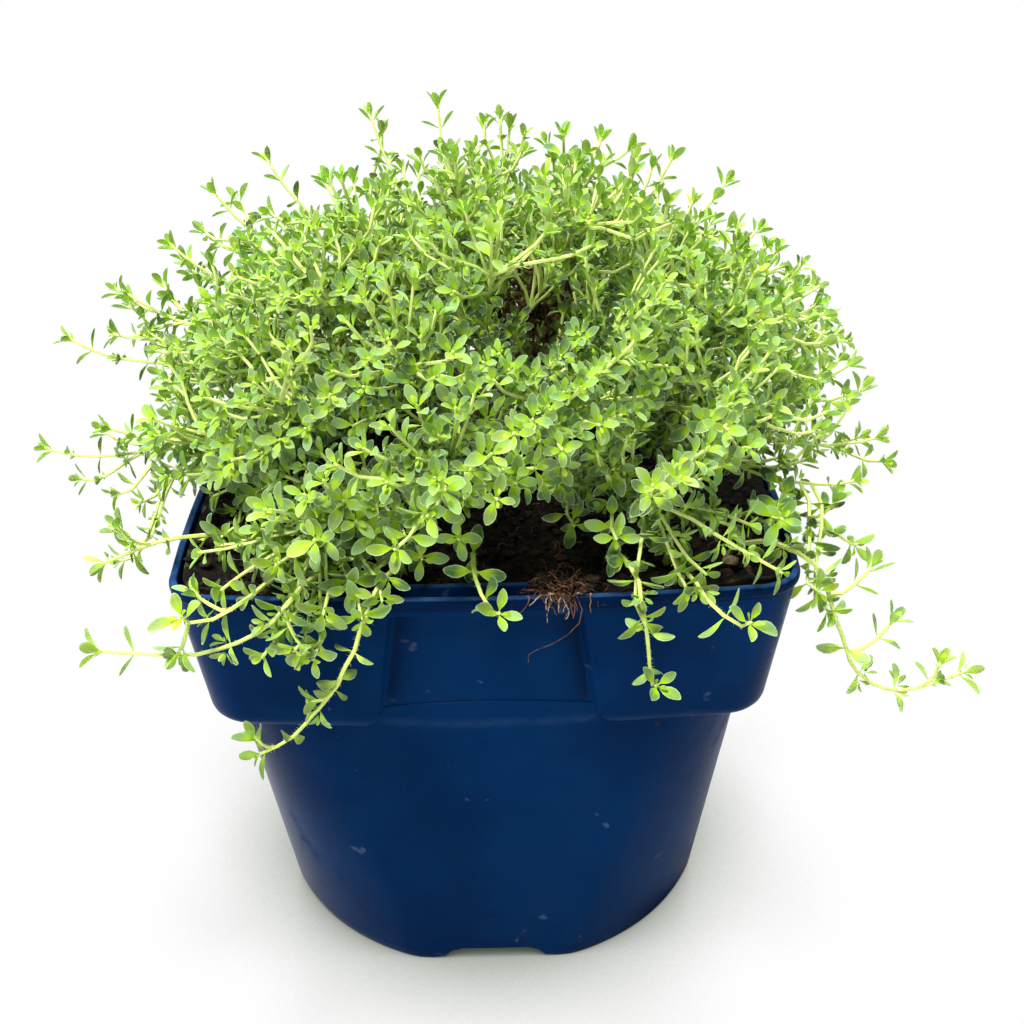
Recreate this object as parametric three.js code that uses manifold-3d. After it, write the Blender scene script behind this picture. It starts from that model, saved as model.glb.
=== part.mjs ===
// A creeping thyme that fills a square plastic nursery pot and trails over its rim.
// Millimetres, +Z up. The origin is the middle of the pot's underside, and the photographed side faces -Y.
import * as THREE from 'three';
import { mergeGeometries, mergeVertices } from 'three/addons/utils/BufferGeometryUtils.js';
import Module from 'manifold-3d';

const wasm = await Module();
wasm.setup();

// ---- Driving dimensions ----

// Pot: square at the rim, round at the foot.
const RIM_WIDTH = 105;
const POT_HEIGHT = 88;
const FOOT_RADIUS = 44;
const SIDE_BOW = 2.2; // how far the middle of each side bulges past its ends
const RIM_CORNER = 8;
const BEAD_HEIGHT = 1.9;
const BEAD_PROUD = 0.5;
const LIP_THICKNESS = 1.5;
const WALL = 1.4;

// The skirt is the square band below the rim; the body under it narrows to the round foot.
const LEDGE_HEIGHT = 60;
const SKIRT_HALF_AT_LEDGE = 48.6;
const SKIRT_EDGE_ROUND = 2.4;
const BODY_HALF_AT_LEDGE = 47.6;
const BODY_CORNER = 20;
const LEDGE_THICKNESS = 1.6;

// A window in the middle of each side of the skirt shows the body wall, pressed in a little.
const WINDOW_HALF_TOP = 15.4;
const WINDOW_HALF_FOOT = 18.4;
const WINDOW_TOP = 84.3;
const WINDOW_FLARE = 4;
const PANEL_DEPTH = 0.8;
const PANEL_FOOT = 64.4;
const PANEL_RISE = 1.6;

// A shallow trough lies behind the lip over each window, with a low ridge on its inner side.
const TROUGH_HALF = 13.75;
const TROUGH_FLOOR = 85.4;
const TROUGH_BACK = 49.4;
const RIDGE_BACK = 48;
const WALL_BACK_AT_LEDGE = 46.4;
const RIDGE_TOP = 87.7;

// Underside: a foot ring with four notches, a raised floor with drainage holes and a flat middle pad.
const FOOT_RING = 3.5;
const FLOOR_RISE = 2;
const FLOOR_THICKNESS = 1.5;
const PAD_RADIUS = 8;
const NOTCH_WIDTH = 20;
const NOTCH_SLOPE = 1.5;
const DRAIN_RADIUS = 3.5;
const DRAIN_CIRCLE = 25;
const DRAIN_COUNT = 8;

// Soil
const GAP = 0.3; // between pieces that touch
const SLIVER = 0.01;
const SOIL_EDGE_HEIGHT = 84.4;
const SOIL_CROWN = 1.6;
const SOIL_RINGS = [1, 0.75, 0.4]; // of the top, as shares of the rim's reach

// Woody crown: the old stems that rise from the soil in the middle of the plant.
const CROWN_RADIUS = 6;
const CROWN_FOOT = 74;
const CROWN_STOCK = 15.5;
const CROWN_TOP = 95.7;
const BRANCH_COUNT = 7;
const BRANCH_CIRCLE = 2.6;
const BRANCH_SUNK = 2;
const BRANCH_TOP_RADIUS = 1.1;
const BRANCH_FOOT_RADIUS = 2;

// Bush: a dome of leafy shoots around a smaller core.
const DOME_MIDDLE = new THREE.Vector3(2, 0, 84);
const DOME_REACH = new THREE.Vector3(74, 68, 63);
const CORE_MIDDLE = new THREE.Vector3(2, 0, 106);
const CORE_REACH = new THREE.Vector3(37, 34, 22);
const CORE_LUMP = 0.16;
const CORE_DETAIL = 2;
const SHOOT_COUNT = 42;
const OUTER_SHARE = 0.96; // of the dome's reach, for two shoots in three
const INNER_SHARE = 0.74; // and for the third
const SHARE_SPREAD = 0.08;
const LOWEST_SHOOT = 0.12; // sine of its slope
const ROOTED_IN_CORE = 0.75; // how far out in the core a shoot's visible part starts
const GOLDEN_ANGLE = Math.PI * (3 - Math.sqrt(5));

// Shoots and leaves, at true size
const STEM_THICKNESS = 0.85; // thyme stems are square
const LEAF_LENGTH = 6;
const LEAF_WIDTH = 3.2;
const LEAF_THICKNESS = 1; // at the keel of the midrib
// Corners as shares of the length and the width, from the tip round to the root and back
const LEAF_OUTLINE = [[1, 0], [0.76, 0.48], [0.38, 0.42], [0, 0], [0.38, -0.42], [0.76, -0.48]];
const KEEL_SHARE = 0.55; // how far along the leaf it is thickest
const LEAF_SUNK = 0.1; // how far a leaf's root is pushed back past the stem's middle line
const BUSH_NODE_SPACING = 9;
const TUFT_HEIGHT = 2.4;
const YOUNG_SIZE = 0.8; // of the top pair, beside a full-grown leaf
const YOUNG_RISE = 0.8; // radians above square to the stem
const TUFT_RISE = 0.35;
const LEAF_RISE = 0.6;
const LONG_SHOOT_PAIRS = 1; // below the tuft at a shoot's tip
const DOME_SHOOT_PAIRS = 1;
const RUNNER_NODE_SPACING = 7;

// Tips of the long shoots that stand out of the dome, from the left round over the top to the right.
const LONG_SHOOT_TIPS = [
  [-83, -8, 96], [-79, 3, 114], [-67, 5, 122], [-59, 10, 130], [-51, 15, 139], [-41, 20, 144],
  [-30, 20, 139], [-21, 25, 151], [-8, 25, 153], [6, 28, 148], [21, 25, 143], [38, 25, 142],
  [48, 20, 138], [54, 15, 130], [61, 5, 121], [74, -12, 97], [70, 30, 101], [-70, 34, 102],
  [30, 62, 112], [-28, 64, 110], [4, 73, 98], [-52, 50, 96], [55, 48, 95],
];

// Routes of the trailing runners, from where they leave the soil, over the rim, to the tip.
const ROOT_DEPTH = 6;
const RUNNER_HOLE = 2.2;
const RUNNERS = {
  runner_left_long: [
    [-20, -35, 87], [-23, -44, 91], [-28, -55, 92], [-34, -60, 87], [-46, -60, 82], [-62, -58, 82],
  ],
  runner_left_drop: [
    [-11, -38, 87], [-13, -46, 91], [-17, -56, 91], [-20, -59, 84], [-24, -58, 75], [-32, -58, 65],
    [-38, -59, 62],
  ],
  runner_left_corner: [[-30, -39, 87], [-33, -48, 90], [-37, -56, 90], [-42, -59, 88], [-47, -60, 88]],
  runner_left_rim: [[-41, -30, 87], [-47, -34, 90], [-54, -37, 91], [-60, -37, 89], [-66, -36, 86]],
  runner_middle: [[-2, -38, 87], [-2, -46, 91], [-1, -56, 91], [2, -61, 88]],
  runner_right_drop: [
    [21, -38, 87], [22, -46, 91], [24, -55, 92], [25, -58, 87], [26, -58, 80], [27, -59, 73],
  ],
  runner_right_front: [[31, -38, 87], [31, -46, 90], [33, -55, 91], [36, -59, 88], [41, -60, 85]],
  runner_right_long: [
    [42, -37, 87], [48, -43, 91], [55, -46, 88], [59, -48, 78], [64, -46, 67], [73, -44, 62], [85, -40, 63],
  ],
  runner_right_rim: [[44, -26, 87], [50, -30, 91], [56, -33, 92], [62, -34, 90], [67, -33, 88]],
};

// ---- Solids ----

function solid(geometry) {
  const bare = geometry.clone();
  bare.deleteAttribute('normal');
  bare.deleteAttribute('uv');
  const merged = mergeVertices(bare, 1e-4);
  return new wasm.Manifold(new wasm.Mesh({
    numProp: 3,
    vertProperties: merged.attributes.position.array,
    triVerts: new Uint32Array(merged.index.array),
  }));
}

// The one connected body of a join, without any loose scrap or sliver.
function largest(joined) {
  const bodies = joined.decompose();
  return bodies.reduce((best, body) => (body.volume() > best.volume() ? body : best)).simplify(SLIVER);
}

function meshOf(name, joined, look) {
  const { vertProperties, triVerts } = joined.getMesh();
  const geometry = new THREE.BufferGeometry();
  geometry.setAttribute('position', new THREE.BufferAttribute(vertProperties, 3));
  geometry.setIndex(new THREE.BufferAttribute(triVerts, 1));
  geometry.computeVertexNormals();
  const mesh = new THREE.Mesh(geometry, new THREE.MeshStandardMaterial(look));
  mesh.name = name;
  return mesh;
}

function boxBetween(low, high) {
  const size = high.map((value, axis) => value - low[axis]);
  const box = new THREE.BoxGeometry(...size);
  box.translate(...low.map((value, axis) => value + size[axis] / 2));
  return solid(box);
}

function quarterTurns(piece) {
  return wasm.Manifold.union([0, 90, 180, 270].map((degrees) => piece.rotate([0, 0, degrees])));
}

// A flat outline in X and Z, as [x, z] points, extruded from y = near to y = far.
function slabAcross(outline, near, far) {
  const shape = new THREE.Shape(outline.map(([x, z]) => new THREE.Vector2(x, z)));
  const slab = new THREE.ExtrudeGeometry(shape, { depth: far - near, bevelEnabled: false, steps: 1 });
  slab.rotateX(Math.PI / 2);
  slab.translate(0, far, 0);
  return solid(slab);
}

// ---- Pot sections ----

const SIDE_STEPS = 4; // on each side of a section
const CORNER_STEPS = 4; // round each corner
const QUARTER_STEPS = SIDE_STEPS + CORNER_STEPS;
const AROUND = 4 * QUARTER_STEPS;

// Point number k of a square section with bowed sides and round corners. k = 0 is the middle of the +X side.
function squarePoint(k, half, corner) {
  const turn = Math.floor((k + SIDE_STEPS / 2) / QUARTER_STEPS);
  const step = k - turn * QUARTER_STEPS;
  const straight = half - corner;
  const point = new THREE.Vector2();
  if (step <= SIDE_STEPS / 2) {
    const along = step / (SIDE_STEPS / 2);
    point.set(half + SIDE_BOW * (1 - along * along), straight * along);
  } else {
    const angle = ((step - SIDE_STEPS / 2) / CORNER_STEPS) * (Math.PI / 2);
    point.set(straight + corner * Math.cos(angle), straight + corner * Math.sin(angle));
  }
  return point.rotateAround(new THREE.Vector2(), turn * (Math.PI / 2));
}

// Point number k of the round foot, where the wall faces the same way as at point k of the square section.
function footPoint(k, radius) {
  const turn = Math.floor((k + SIDE_STEPS / 2) / QUARTER_STEPS);
  const step = k - turn * QUARTER_STEPS;
  const straight = BODY_HALF_AT_LEDGE - BODY_CORNER;
  const endSlope = Math.atan((2 * SIDE_BOW) / straight);
  let facing;
  if (step <= SIDE_STEPS / 2) {
    facing = Math.atan(((2 * SIDE_BOW) / straight) * (step / (SIDE_STEPS / 2)));
  } else {
    const share = (step - SIDE_STEPS / 2) / CORNER_STEPS;
    facing = endSlope + share * (Math.PI / 2 - 2 * endSlope);
  }
  return new THREE.Vector2(radius, 0).rotateAround(new THREE.Vector2(), facing + turn * (Math.PI / 2));
}

// A closed body through sections from the lowest to the highest, each { z, at: (k) => Vector2 }.
function throughSections(sections) {
  const drum = new THREE.CylinderGeometry(1, 1, sections.length - 1, AROUND, sections.length - 1);
  drum.rotateX(Math.PI / 2);
  const position = drum.attributes.position;
  for (let i = 0; i < position.count; i += 1) {
    const x = position.getX(i);
    const y = position.getY(i);
    const section = sections[Math.round(position.getZ(i) + (sections.length - 1) / 2)];
    const k = (Math.round((Math.atan2(y, x) / (2 * Math.PI)) * AROUND) + AROUND) % AROUND;
    const isRim = Math.hypot(x, y) > 0.5;
    const point = isRim ? section.at(k) : new THREE.Vector2();
    position.setXYZ(i, point.x, point.y, section.z);
  }
  return solid(drum);
}

// The body wall's section at a height, moved in by inset. Above the ledge it runs on in the same line.
function bodySection(z, inset, scale = 1) {
  const rise = z / LEDGE_HEIGHT;
  return {
    z,
    at: (k) => footPoint(k, FOOT_RADIUS - inset)
      .lerp(squarePoint(k, BODY_HALF_AT_LEDGE - inset, BODY_CORNER - inset), rise)
      .multiplyScalar(scale),
  };
}

function skirtHalf(z) {
  const top = POT_HEIGHT - BEAD_HEIGHT;
  const halfUnderBead = RIM_WIDTH / 2 - BEAD_PROUD;
  const rise = (z - LEDGE_HEIGHT) / (top - LEDGE_HEIGHT);
  return SKIRT_HALF_AT_LEDGE + rise * (halfUnderBead - SKIRT_HALF_AT_LEDGE);
}

function skirtSection(z, inset, scale = 1) {
  return { z, at: (k) => squarePoint(k, skirtHalf(z) - inset, RIM_CORNER - inset).multiplyScalar(scale) };
}

// ---- Pot ----

function skirt() {
  const round = SKIRT_EDGE_ROUND;
  const edge = [0, 45, 90].map((degrees) => {
    const angle = THREE.MathUtils.degToRad(degrees);
    return skirtSection(LEDGE_HEIGHT + round * (1 - Math.cos(angle)), round * (1 - Math.sin(angle)));
  });
  const beadFoot = POT_HEIGHT - BEAD_HEIGHT;
  const halfRim = RIM_WIDTH / 2;
  const bead = [[beadFoot, BEAD_PROUD], [beadFoot + 0.4, 0], [POT_HEIGHT, 0]].map(
    ([z, inset]) => ({ z, at: (k) => squarePoint(k, halfRim - inset, RIM_CORNER - inset) }),
  );
  return throughSections([...edge, ...bead]);
}

// The opening that one side of the skirt leaves over the body, flared where its lower corners are round.
function windowOutline() {
  const side = [
    [WINDOW_HALF_FOOT + WINDOW_FLARE, LEDGE_HEIGHT - 1],
    [WINDOW_HALF_FOOT + WINDOW_FLARE, LEDGE_HEIGHT],
    [WINDOW_HALF_FOOT + 0.35 * WINDOW_FLARE, LEDGE_HEIGHT + 0.4 * WINDOW_FLARE],
    [WINDOW_HALF_FOOT, LEDGE_HEIGHT + WINDOW_FLARE],
    [WINDOW_HALF_TOP, WINDOW_TOP],
  ];
  return [...side, ...side.map(([x, z]) => [-x, z]).reverse()];
}

// The pressed-in panel: the window's outline with an arched foot.
function panelOutline() {
  const steps = 6;
  const arch = Array.from({ length: steps + 1 }, (_, i) => {
    const along = (2 * i) / steps - 1;
    return [WINDOW_HALF_FOOT * along, PANEL_FOOT + PANEL_RISE * (1 - along * along)];
  });
  return [...arch, [WINDOW_HALF_TOP, WINDOW_TOP], [-WINDOW_HALF_TOP, WINDOW_TOP]];
}

function outerShape() {
  const outward = -(RIM_WIDTH / 2 + 10);
  const inward = -(RIDGE_BACK - 8);
  const body = throughSections([
    bodySection(0, 0.8),
    bodySection(0.8, 0),
    bodySection(0.6 * LEDGE_HEIGHT, 0),
    bodySection(POT_HEIGHT - BEAD_HEIGHT - 1, 0),
  ]);
  const windows = quarterTurns(slabAcross(windowOutline(), outward, inward));
  const behindPanels = throughSections([
    bodySection(LEDGE_HEIGHT - 2, PANEL_DEPTH),
    bodySection(POT_HEIGHT, PANEL_DEPTH),
  ]);
  const panels = quarterTurns(slabAcross(panelOutline(), outward, inward)).subtract(behindPanels);
  return skirt().subtract(windows).add(body).subtract(panels);
}

// The wall behind the four windows, thicker and wider towards its foot. margin grows it on every side.
function windowWalls(margin) {
  const outward = RIM_WIDTH / 2 + 10;
  const foot = LEDGE_HEIGHT - 2;
  const top = RIDGE_TOP + margin;
  const halfFoot = WINDOW_HALF_FOOT + WINDOW_FLARE + WALL + margin;
  const halfTop = WINDOW_HALF_TOP + WALL + margin;
  const width = slabAcross([
    [-halfFoot, foot],
    [halfFoot, foot],
    [halfTop, top],
    [-halfTop, top],
  ], -outward, -WALL_BACK_AT_LEDGE / 2);
  const depth = slabAcross([
    [WALL_BACK_AT_LEDGE - margin, foot],
    [outward, foot],
    [outward, top],
    [RIDGE_BACK - margin, top],
  ], -halfFoot - 1, halfFoot + 1).rotate([0, 0, -90]);
  return quarterTurns(width.intersect(depth));
}

// The room inside the pot, moved in by a gap for what fills it.
function insideShape(gap) {
  const floor = FLOOR_RISE + FLOOR_THICKNESS + gap;
  const step = LEDGE_HEIGHT + LEDGE_THICKNESS + gap;
  const halfwayUpSkirt = (LEDGE_HEIGHT + POT_HEIGHT) / 2;
  const lower = throughSections([bodySection(floor, WALL + gap), bodySection(halfwayUpSkirt, WALL + gap)]);
  const lipInset = LIP_THICKNESS - BEAD_PROUD;
  const upper = throughSections([
    skirtSection(step, WALL + gap),
    skirtSection(POT_HEIGHT - BEAD_HEIGHT, lipInset + gap),
    skirtSection(POT_HEIGHT + 1, lipInset + gap),
  ]);
  return lower.add(upper).subtract(windowWalls(gap));
}

function underside() {
  const ringInside = FOOT_RADIUS - FOOT_RING;
  const hollow = new THREE.LatheGeometry([
    new THREE.Vector2(PAD_RADIUS, -1),
    new THREE.Vector2(ringInside, -1),
    new THREE.Vector2(ringInside, FLOOR_RISE),
    new THREE.Vector2(PAD_RADIUS, FLOOR_RISE),
    new THREE.Vector2(PAD_RADIUS, -1),
  ], 24);
  hollow.rotateX(Math.PI / 2);
  const half = NOTCH_WIDTH / 2;
  const notch = slabAcross([
    [-half, -1],
    [half, -1],
    [half, 0],
    [half - NOTCH_SLOPE, FLOOR_RISE],
    [-half + NOTCH_SLOPE, FLOOR_RISE],
    [-half, 0],
  ], -FOOT_RADIUS - 5, -ringInside + 3);
  return solid(hollow).add(quarterTurns(notch));
}

function drainHoles() {
  const holes = Array.from({ length: DRAIN_COUNT }, (_, i) => {
    const angle = ((i + 0.5) / DRAIN_COUNT) * 2 * Math.PI;
    const hole = new THREE.CylinderGeometry(DRAIN_RADIUS, DRAIN_RADIUS, 10, 8);
    hole.rotateX(Math.PI / 2);
    hole.translate(DRAIN_CIRCLE * Math.cos(angle), DRAIN_CIRCLE * Math.sin(angle), FLOOR_RISE);
    return solid(hole);
  });
  return wasm.Manifold.union(holes);
}

function pot() {
  const troughs = quarterTurns(boxBetween(
    [-TROUGH_HALF, -(RIM_WIDTH / 2 - LIP_THICKNESS + SIDE_BOW - 0.2), TROUGH_FLOOR],
    [TROUGH_HALF, -TROUGH_BACK, POT_HEIGHT + 2],
  ));
  const shell = outerShape().subtract(insideShape(0)).subtract(troughs);
  return shell.subtract(underside()).subtract(drainHoles());
}

// ---- Soil ----

function soilHeight(x, y, rimShare) {
  const mound = SOIL_CROWN * (1 - rimShare * rimShare);
  const hollows = 0.6 * Math.sin(0.31 * x + 1.3) * Math.cos(0.27 * y + 0.4);
  const ridges = 0.4 * Math.sin(0.53 * y + 0.21 * x);
  return SOIL_EDGE_HEIGHT + mound + (hollows + ridges) * (1 - 0.7 * rimShare);
}

function soil(holes) {
  const reach = RIM_WIDTH / 2;
  const half = reach - LIP_THICKNESS / 3;
  const outline = (z, share) => ({ z, at: (k) => squarePoint(k, half, RIM_CORNER).multiplyScalar(share) });
  const lump = throughSections([
    outline(0, 1),
    ...SOIL_RINGS.map((share) => outline(SOIL_EDGE_HEIGHT + (1 - share), share)),
  ]);
  const raised = lump.warp((vertex) => {
    const [x, y, z] = vertex;
    if (z >= SOIL_EDGE_HEIGHT) {
      const rimShare = Math.min(1, Math.max(Math.abs(x), Math.abs(y)) / reach);
      vertex[2] = soilHeight(x, y, rimShare);
    }
  });
  return largest(raised.intersect(insideShape(GAP)).subtract(holes));
}

function hole(x, y, radius, foot, sides) {
  const bore = new THREE.CylinderGeometry(radius, radius, POT_HEIGHT + 4 - foot, sides);
  bore.rotateX(Math.PI / 2);
  bore.translate(x, y, (POT_HEIGHT + 4 + foot) / 2);
  return solid(bore);
}

// ---- Woody crown ----

function crown() {
  const stock = new THREE.CylinderGeometry(CROWN_RADIUS - 1.5, CROWN_RADIUS, CROWN_STOCK, 8);
  stock.rotateX(Math.PI / 2);
  stock.translate(0, 0, CROWN_FOOT + CROWN_STOCK / 2);
  const branches = Array.from({ length: BRANCH_COUNT }, (_, i) => {
    const around = i * GOLDEN_ANGLE;
    const lean = 0.25 + (0.75 * i) / BRANCH_COUNT;
    const outward = new THREE.Vector3(Math.cos(around), Math.sin(around), 0);
    const foot = outward.clone().multiplyScalar(BRANCH_CIRCLE).setZ(CROWN_FOOT + CROWN_STOCK - BRANCH_SUNK);
    const way = outward.clone().multiplyScalar(lean).setZ(1).normalize();
    const length = (CROWN_TOP + BRANCH_FOOT_RADIUS - foot.z) / way.z;
    const branch = new THREE.CylinderGeometry(BRANCH_TOP_RADIUS, BRANCH_FOOT_RADIUS, length, 6);
    branch.translate(0, length / 2, 0);
    branch.applyQuaternion(new THREE.Quaternion().setFromUnitVectors(new THREE.Vector3(0, 1, 0), way));
    branch.translate(foot.x, foot.y, foot.z);
    return solid(branch);
  });
  const level = boxBetween([-60, -60, CROWN_TOP], [60, 60, CROWN_TOP + 20]);
  return largest(wasm.Manifold.union([solid(stock), ...branches]).subtract(level));
}

// ---- Leaves and shoots ----

// A draw from 0 to 1 that gives the same row of numbers each time.
function seededDraw(seed) {
  let state = seed;
  return () => {
    state = (1664525 * state + 1013904223) % 4294967296;
    return state / 4294967296;
  };
}

// Points along every stem and blade so far, so that a new blade is left out where it would cross one.
const taken = [];
const OTHER_PIECE_ROOM = 3.6;
const OWN_BLADE_ROOM = 2.1;
const POT_ROOM = 2.6;

function isFree(points, owner) {
  return points.every((p) => taken.every((t) => {
    const room = t.owner === owner ? OWN_BLADE_ROOM : OTHER_PIECE_ROOM;
    return (t.owner === owner && t.isStem) || t.place.distanceToSquared(p) > room * room;
  }));
}

function isOffThePot(p) {
  const half = RIM_WIDTH / 2 + SIDE_BOW + POT_ROOM;
  const isBeside = Math.abs(p.x) > half || Math.abs(p.y) > half;
  return isBeside || p.z > POT_HEIGHT + POT_ROOM;
}

// A six-sided blade, flat above and keeled below, from its root at the origin along +X, facing +Z.
function bladeGeometry(length, width, thickness) {
  const outline = LEAF_OUTLINE.map(([along, across]) => new THREE.Vector2(along * length, across * width));
  const face = new THREE.ShapeGeometry(new THREE.Shape(outline));
  const keel = new THREE.ConeGeometry(1, 1, outline.length, 1, true);
  const position = keel.attributes.position;
  for (let i = 0; i < position.count; i += 1) {
    const angle = Math.atan2(position.getZ(i), position.getX(i));
    const corner = outline.at(Math.round((angle / (2 * Math.PI)) * outline.length - 0.5));
    if (position.getY(i) > 0) {
      position.setXYZ(i, KEEL_SHARE * length, 0, -thickness);
    } else {
      position.setXYZ(i, corner.x, corner.y, 0);
    }
  }
  return mergeGeometries([face, keel]);
}

// One leaf that leaves the stem at place, unless it would cross the pot or another leaf.
function addBlade(solids, owner, place, way, facing, size) {
  const root = place.clone().addScaledVector(way, -LEAF_SUNK);
  const across = new THREE.Vector3().crossVectors(facing, way).normalize();
  const normal = new THREE.Vector3().crossVectors(way, across).normalize();
  const length = LEAF_LENGTH * size;
  const points = [KEEL_SHARE, 1].map((share) => root.clone().addScaledVector(way, share * length));
  if (!points.every(isOffThePot) || !isFree(points, owner)) return;
  points.forEach((point) => taken.push({ place: point, owner, isStem: false }));
  const blade = bladeGeometry(length, LEAF_WIDTH * size, LEAF_THICKNESS);
  blade.applyMatrix4(new THREE.Matrix4().makeBasis(way, across, normal).setPosition(root));
  solids.push(solid(blade));
}

// Two facing leaves on a stem. turn sets the side they stand on and rise how far they point along the stem.
function addPair(solids, owner, place, along, turn, rise, size) {
  const level = Math.abs(along.z) > 0.9 ? new THREE.Vector3(1, 0, 0) : new THREE.Vector3(0, 0, 1);
  const side = new THREE.Vector3().crossVectors(along, level).normalize().applyAxisAngle(along, turn);
  [1, -1].forEach((sign) => {
    const way = side.clone().multiplyScalar(sign * Math.cos(rise)).addScaledVector(along, Math.sin(rise));
    addBlade(solids, owner, place, way.normalize(), along, size);
  });
}

// The same route in straight steps, so that a blade's root lies inside the faceted stem.
function inStraightSteps(curve, steps) {
  const places = curve.getSpacedPoints(steps);
  const route = new THREE.CurvePath();
  places.slice(1).forEach((place, i) => route.add(new THREE.LineCurve3(places[i], place)));
  return route;
}

function stemAlong(route, steps) {
  const half = STEM_THICKNESS / 2;
  const square = new THREE.Shape([[half, half], [-half, half], [-half, -half], [half, -half]]
    .map(([x, y]) => new THREE.Vector2(x, y)));
  return solid(new THREE.ExtrudeGeometry(square, { steps, extrudePath: route }));
}

function markStem(curve, owner) {
  const count = Math.ceil(curve.getLength() / 2);
  curve.getSpacedPoints(count).forEach((place) => taken.push({ place, owner, isStem: true }));
}

// A stem with pairs of leaves, each pair a quarter turn from the last, and a tuft of four leaves at its tip.
function leafyStem(curve, owner, { steps, pairs, spacing, draw }) {
  const route = inStraightSteps(curve, steps);
  const solids = [stemAlong(route, steps)];
  const length = route.getLength();
  const phase = draw() * Math.PI;
  const tipWay = route.getTangent(1);
  const top = route.getPoint(1 - LEAF_SUNK / length);
  addPair(solids, owner, top, tipWay, phase, YOUNG_RISE, YOUNG_SIZE);
  const tuft = route.getPoint(1 - TUFT_HEIGHT / length);
  addPair(solids, owner, tuft, tipWay, phase + Math.PI / 2, TUFT_RISE, 1);
  for (let i = 1; i <= pairs; i += 1) {
    const share = 1 - (TUFT_HEIGHT + i * spacing) / length;
    const turn = phase + (i % 2) * (Math.PI / 2);
    addPair(solids, owner, route.getPoint(share), route.getTangent(share), turn, LEAF_RISE, 1);
  }
  return solids;
}

// ---- Bush ----

// The rough middle of the bush, where stems are too dense to tell apart. It sits flat on the crown.
function core(draw) {
  const faceted = new THREE.IcosahedronGeometry(1, CORE_DETAIL);
  faceted.deleteAttribute('normal');
  faceted.deleteAttribute('uv');
  const ball = mergeVertices(faceted);
  const position = ball.attributes.position;
  for (let i = 0; i < position.count; i += 1) {
    const lump = 1 + CORE_LUMP * (2 * draw() - 1);
    const place = new THREE.Vector3().fromBufferAttribute(position, i);
    place.multiplyScalar(lump).multiply(CORE_REACH).add(CORE_MIDDLE);
    position.setXYZ(i, place.x, place.y, Math.max(place.z, CROWN_TOP + GAP));
  }
  return solid(ball);
}

function isInCore(place) {
  return place.clone().sub(CORE_MIDDLE).divide(CORE_REACH).length() < ROOTED_IN_CORE;
}

// A shoot leaves the crown upwards, arches out and lifts its tip. It starts where it is still in the core.
function shootTo(tip) {
  const root = new THREE.Vector3(0, 0, DOME_MIDDLE.z);
  const span = new THREE.Vector3().subVectors(tip, root);
  const length = span.length();
  const out = new THREE.Vector3(span.x, span.y, 0).normalize();
  const rise = new THREE.Vector3(0, 0, 1);
  const first = root.clone().addScaledVector(span, 0.15).addScaledVector(rise, 0.5 * length);
  const tipWay = span.clone().normalize().addScaledVector(rise, 0.35).addScaledVector(out, 0.1).normalize();
  const second = tip.clone().addScaledVector(tipWay, -0.35 * length);
  const whole = new THREE.CubicBezierCurve3(root, first, second, tip);
  const start = whole.getSpacedPoints(50).findLastIndex(isInCore) / 50;
  const count = 4;
  return new THREE.CatmullRomCurve3(Array.from({ length: count + 1 }, (_, i) => (
    whole.getPointAt(start + ((1 - start) * i) / count)
  )));
}

function bushCurves(draw) {
  const byRule = Array.from({ length: SHOOT_COUNT }, (_, i) => {
    const slope = Math.asin(LOWEST_SHOOT + (1 - LOWEST_SHOOT) * ((i + 0.5) / SHOOT_COUNT));
    const around = i * GOLDEN_ANGLE;
    const way = new THREE.Vector3(
      Math.cos(slope) * Math.cos(around),
      Math.cos(slope) * Math.sin(around),
      Math.sin(slope),
    );
    const reach = (i % 3 === 1 ? INNER_SHARE : OUTER_SHARE) + SHARE_SPREAD * draw();
    return shootTo(DOME_MIDDLE.clone().add(way.multiply(DOME_REACH).multiplyScalar(reach)));
  });
  const long = LONG_SHOOT_TIPS.map((tip) => shootTo(new THREE.Vector3(...tip)));
  return { long, byRule };
}

function runnerCurve(points) {
  const places = points.map((point) => new THREE.Vector3(...point));
  const root = places[0].clone().setZ(places[0].z - ROOT_DEPTH);
  return new THREE.CatmullRomCurve3([root, ...places]);
}

// ---- Assembly ----

const draw = seededDraw(20);
const shoots = bushCurves(draw);
const runnerCurves = Object.entries(RUNNERS).map(([name, points]) => (
  [name, runnerCurve(points)]
));
[...shoots.long, ...shoots.byRule].forEach((curve) => markStem(curve, 'thyme_bush'));
runnerCurves.forEach(([name, curve]) => markStem(curve, name));

const runners = runnerCurves.map(([name, curve]) => {
  const steps = Math.ceil(curve.getLength() / 7);
  const pairs = Math.floor((curve.getLength() - ROOT_DEPTH - RUNNER_NODE_SPACING) / RUNNER_NODE_SPACING);
  const solids = leafyStem(curve, name, { steps, pairs, spacing: RUNNER_NODE_SPACING, draw });
  return [name, largest(wasm.Manifold.union(solids))];
});

const bushSolids = [[shoots.long, 3, LONG_SHOOT_PAIRS], [shoots.byRule, 2, DOME_SHOOT_PAIRS]].flatMap(
  ([curves, steps, pairs]) => curves.flatMap((curve) => (
    leafyStem(curve, 'thyme_bush', { steps, pairs, spacing: BUSH_NODE_SPACING, draw })
  )),
);
const bush = largest(wasm.Manifold.union([core(draw), ...bushSolids]));

const holes = wasm.Manifold.union([
  hole(0, 0, CROWN_RADIUS + 0.8, CROWN_FOOT - GAP, 10),
  ...Object.values(RUNNERS).map(([[x, y, z]]) => hole(x, y, RUNNER_HOLE, z - ROOT_DEPTH - 1, 6)),
]);

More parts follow.
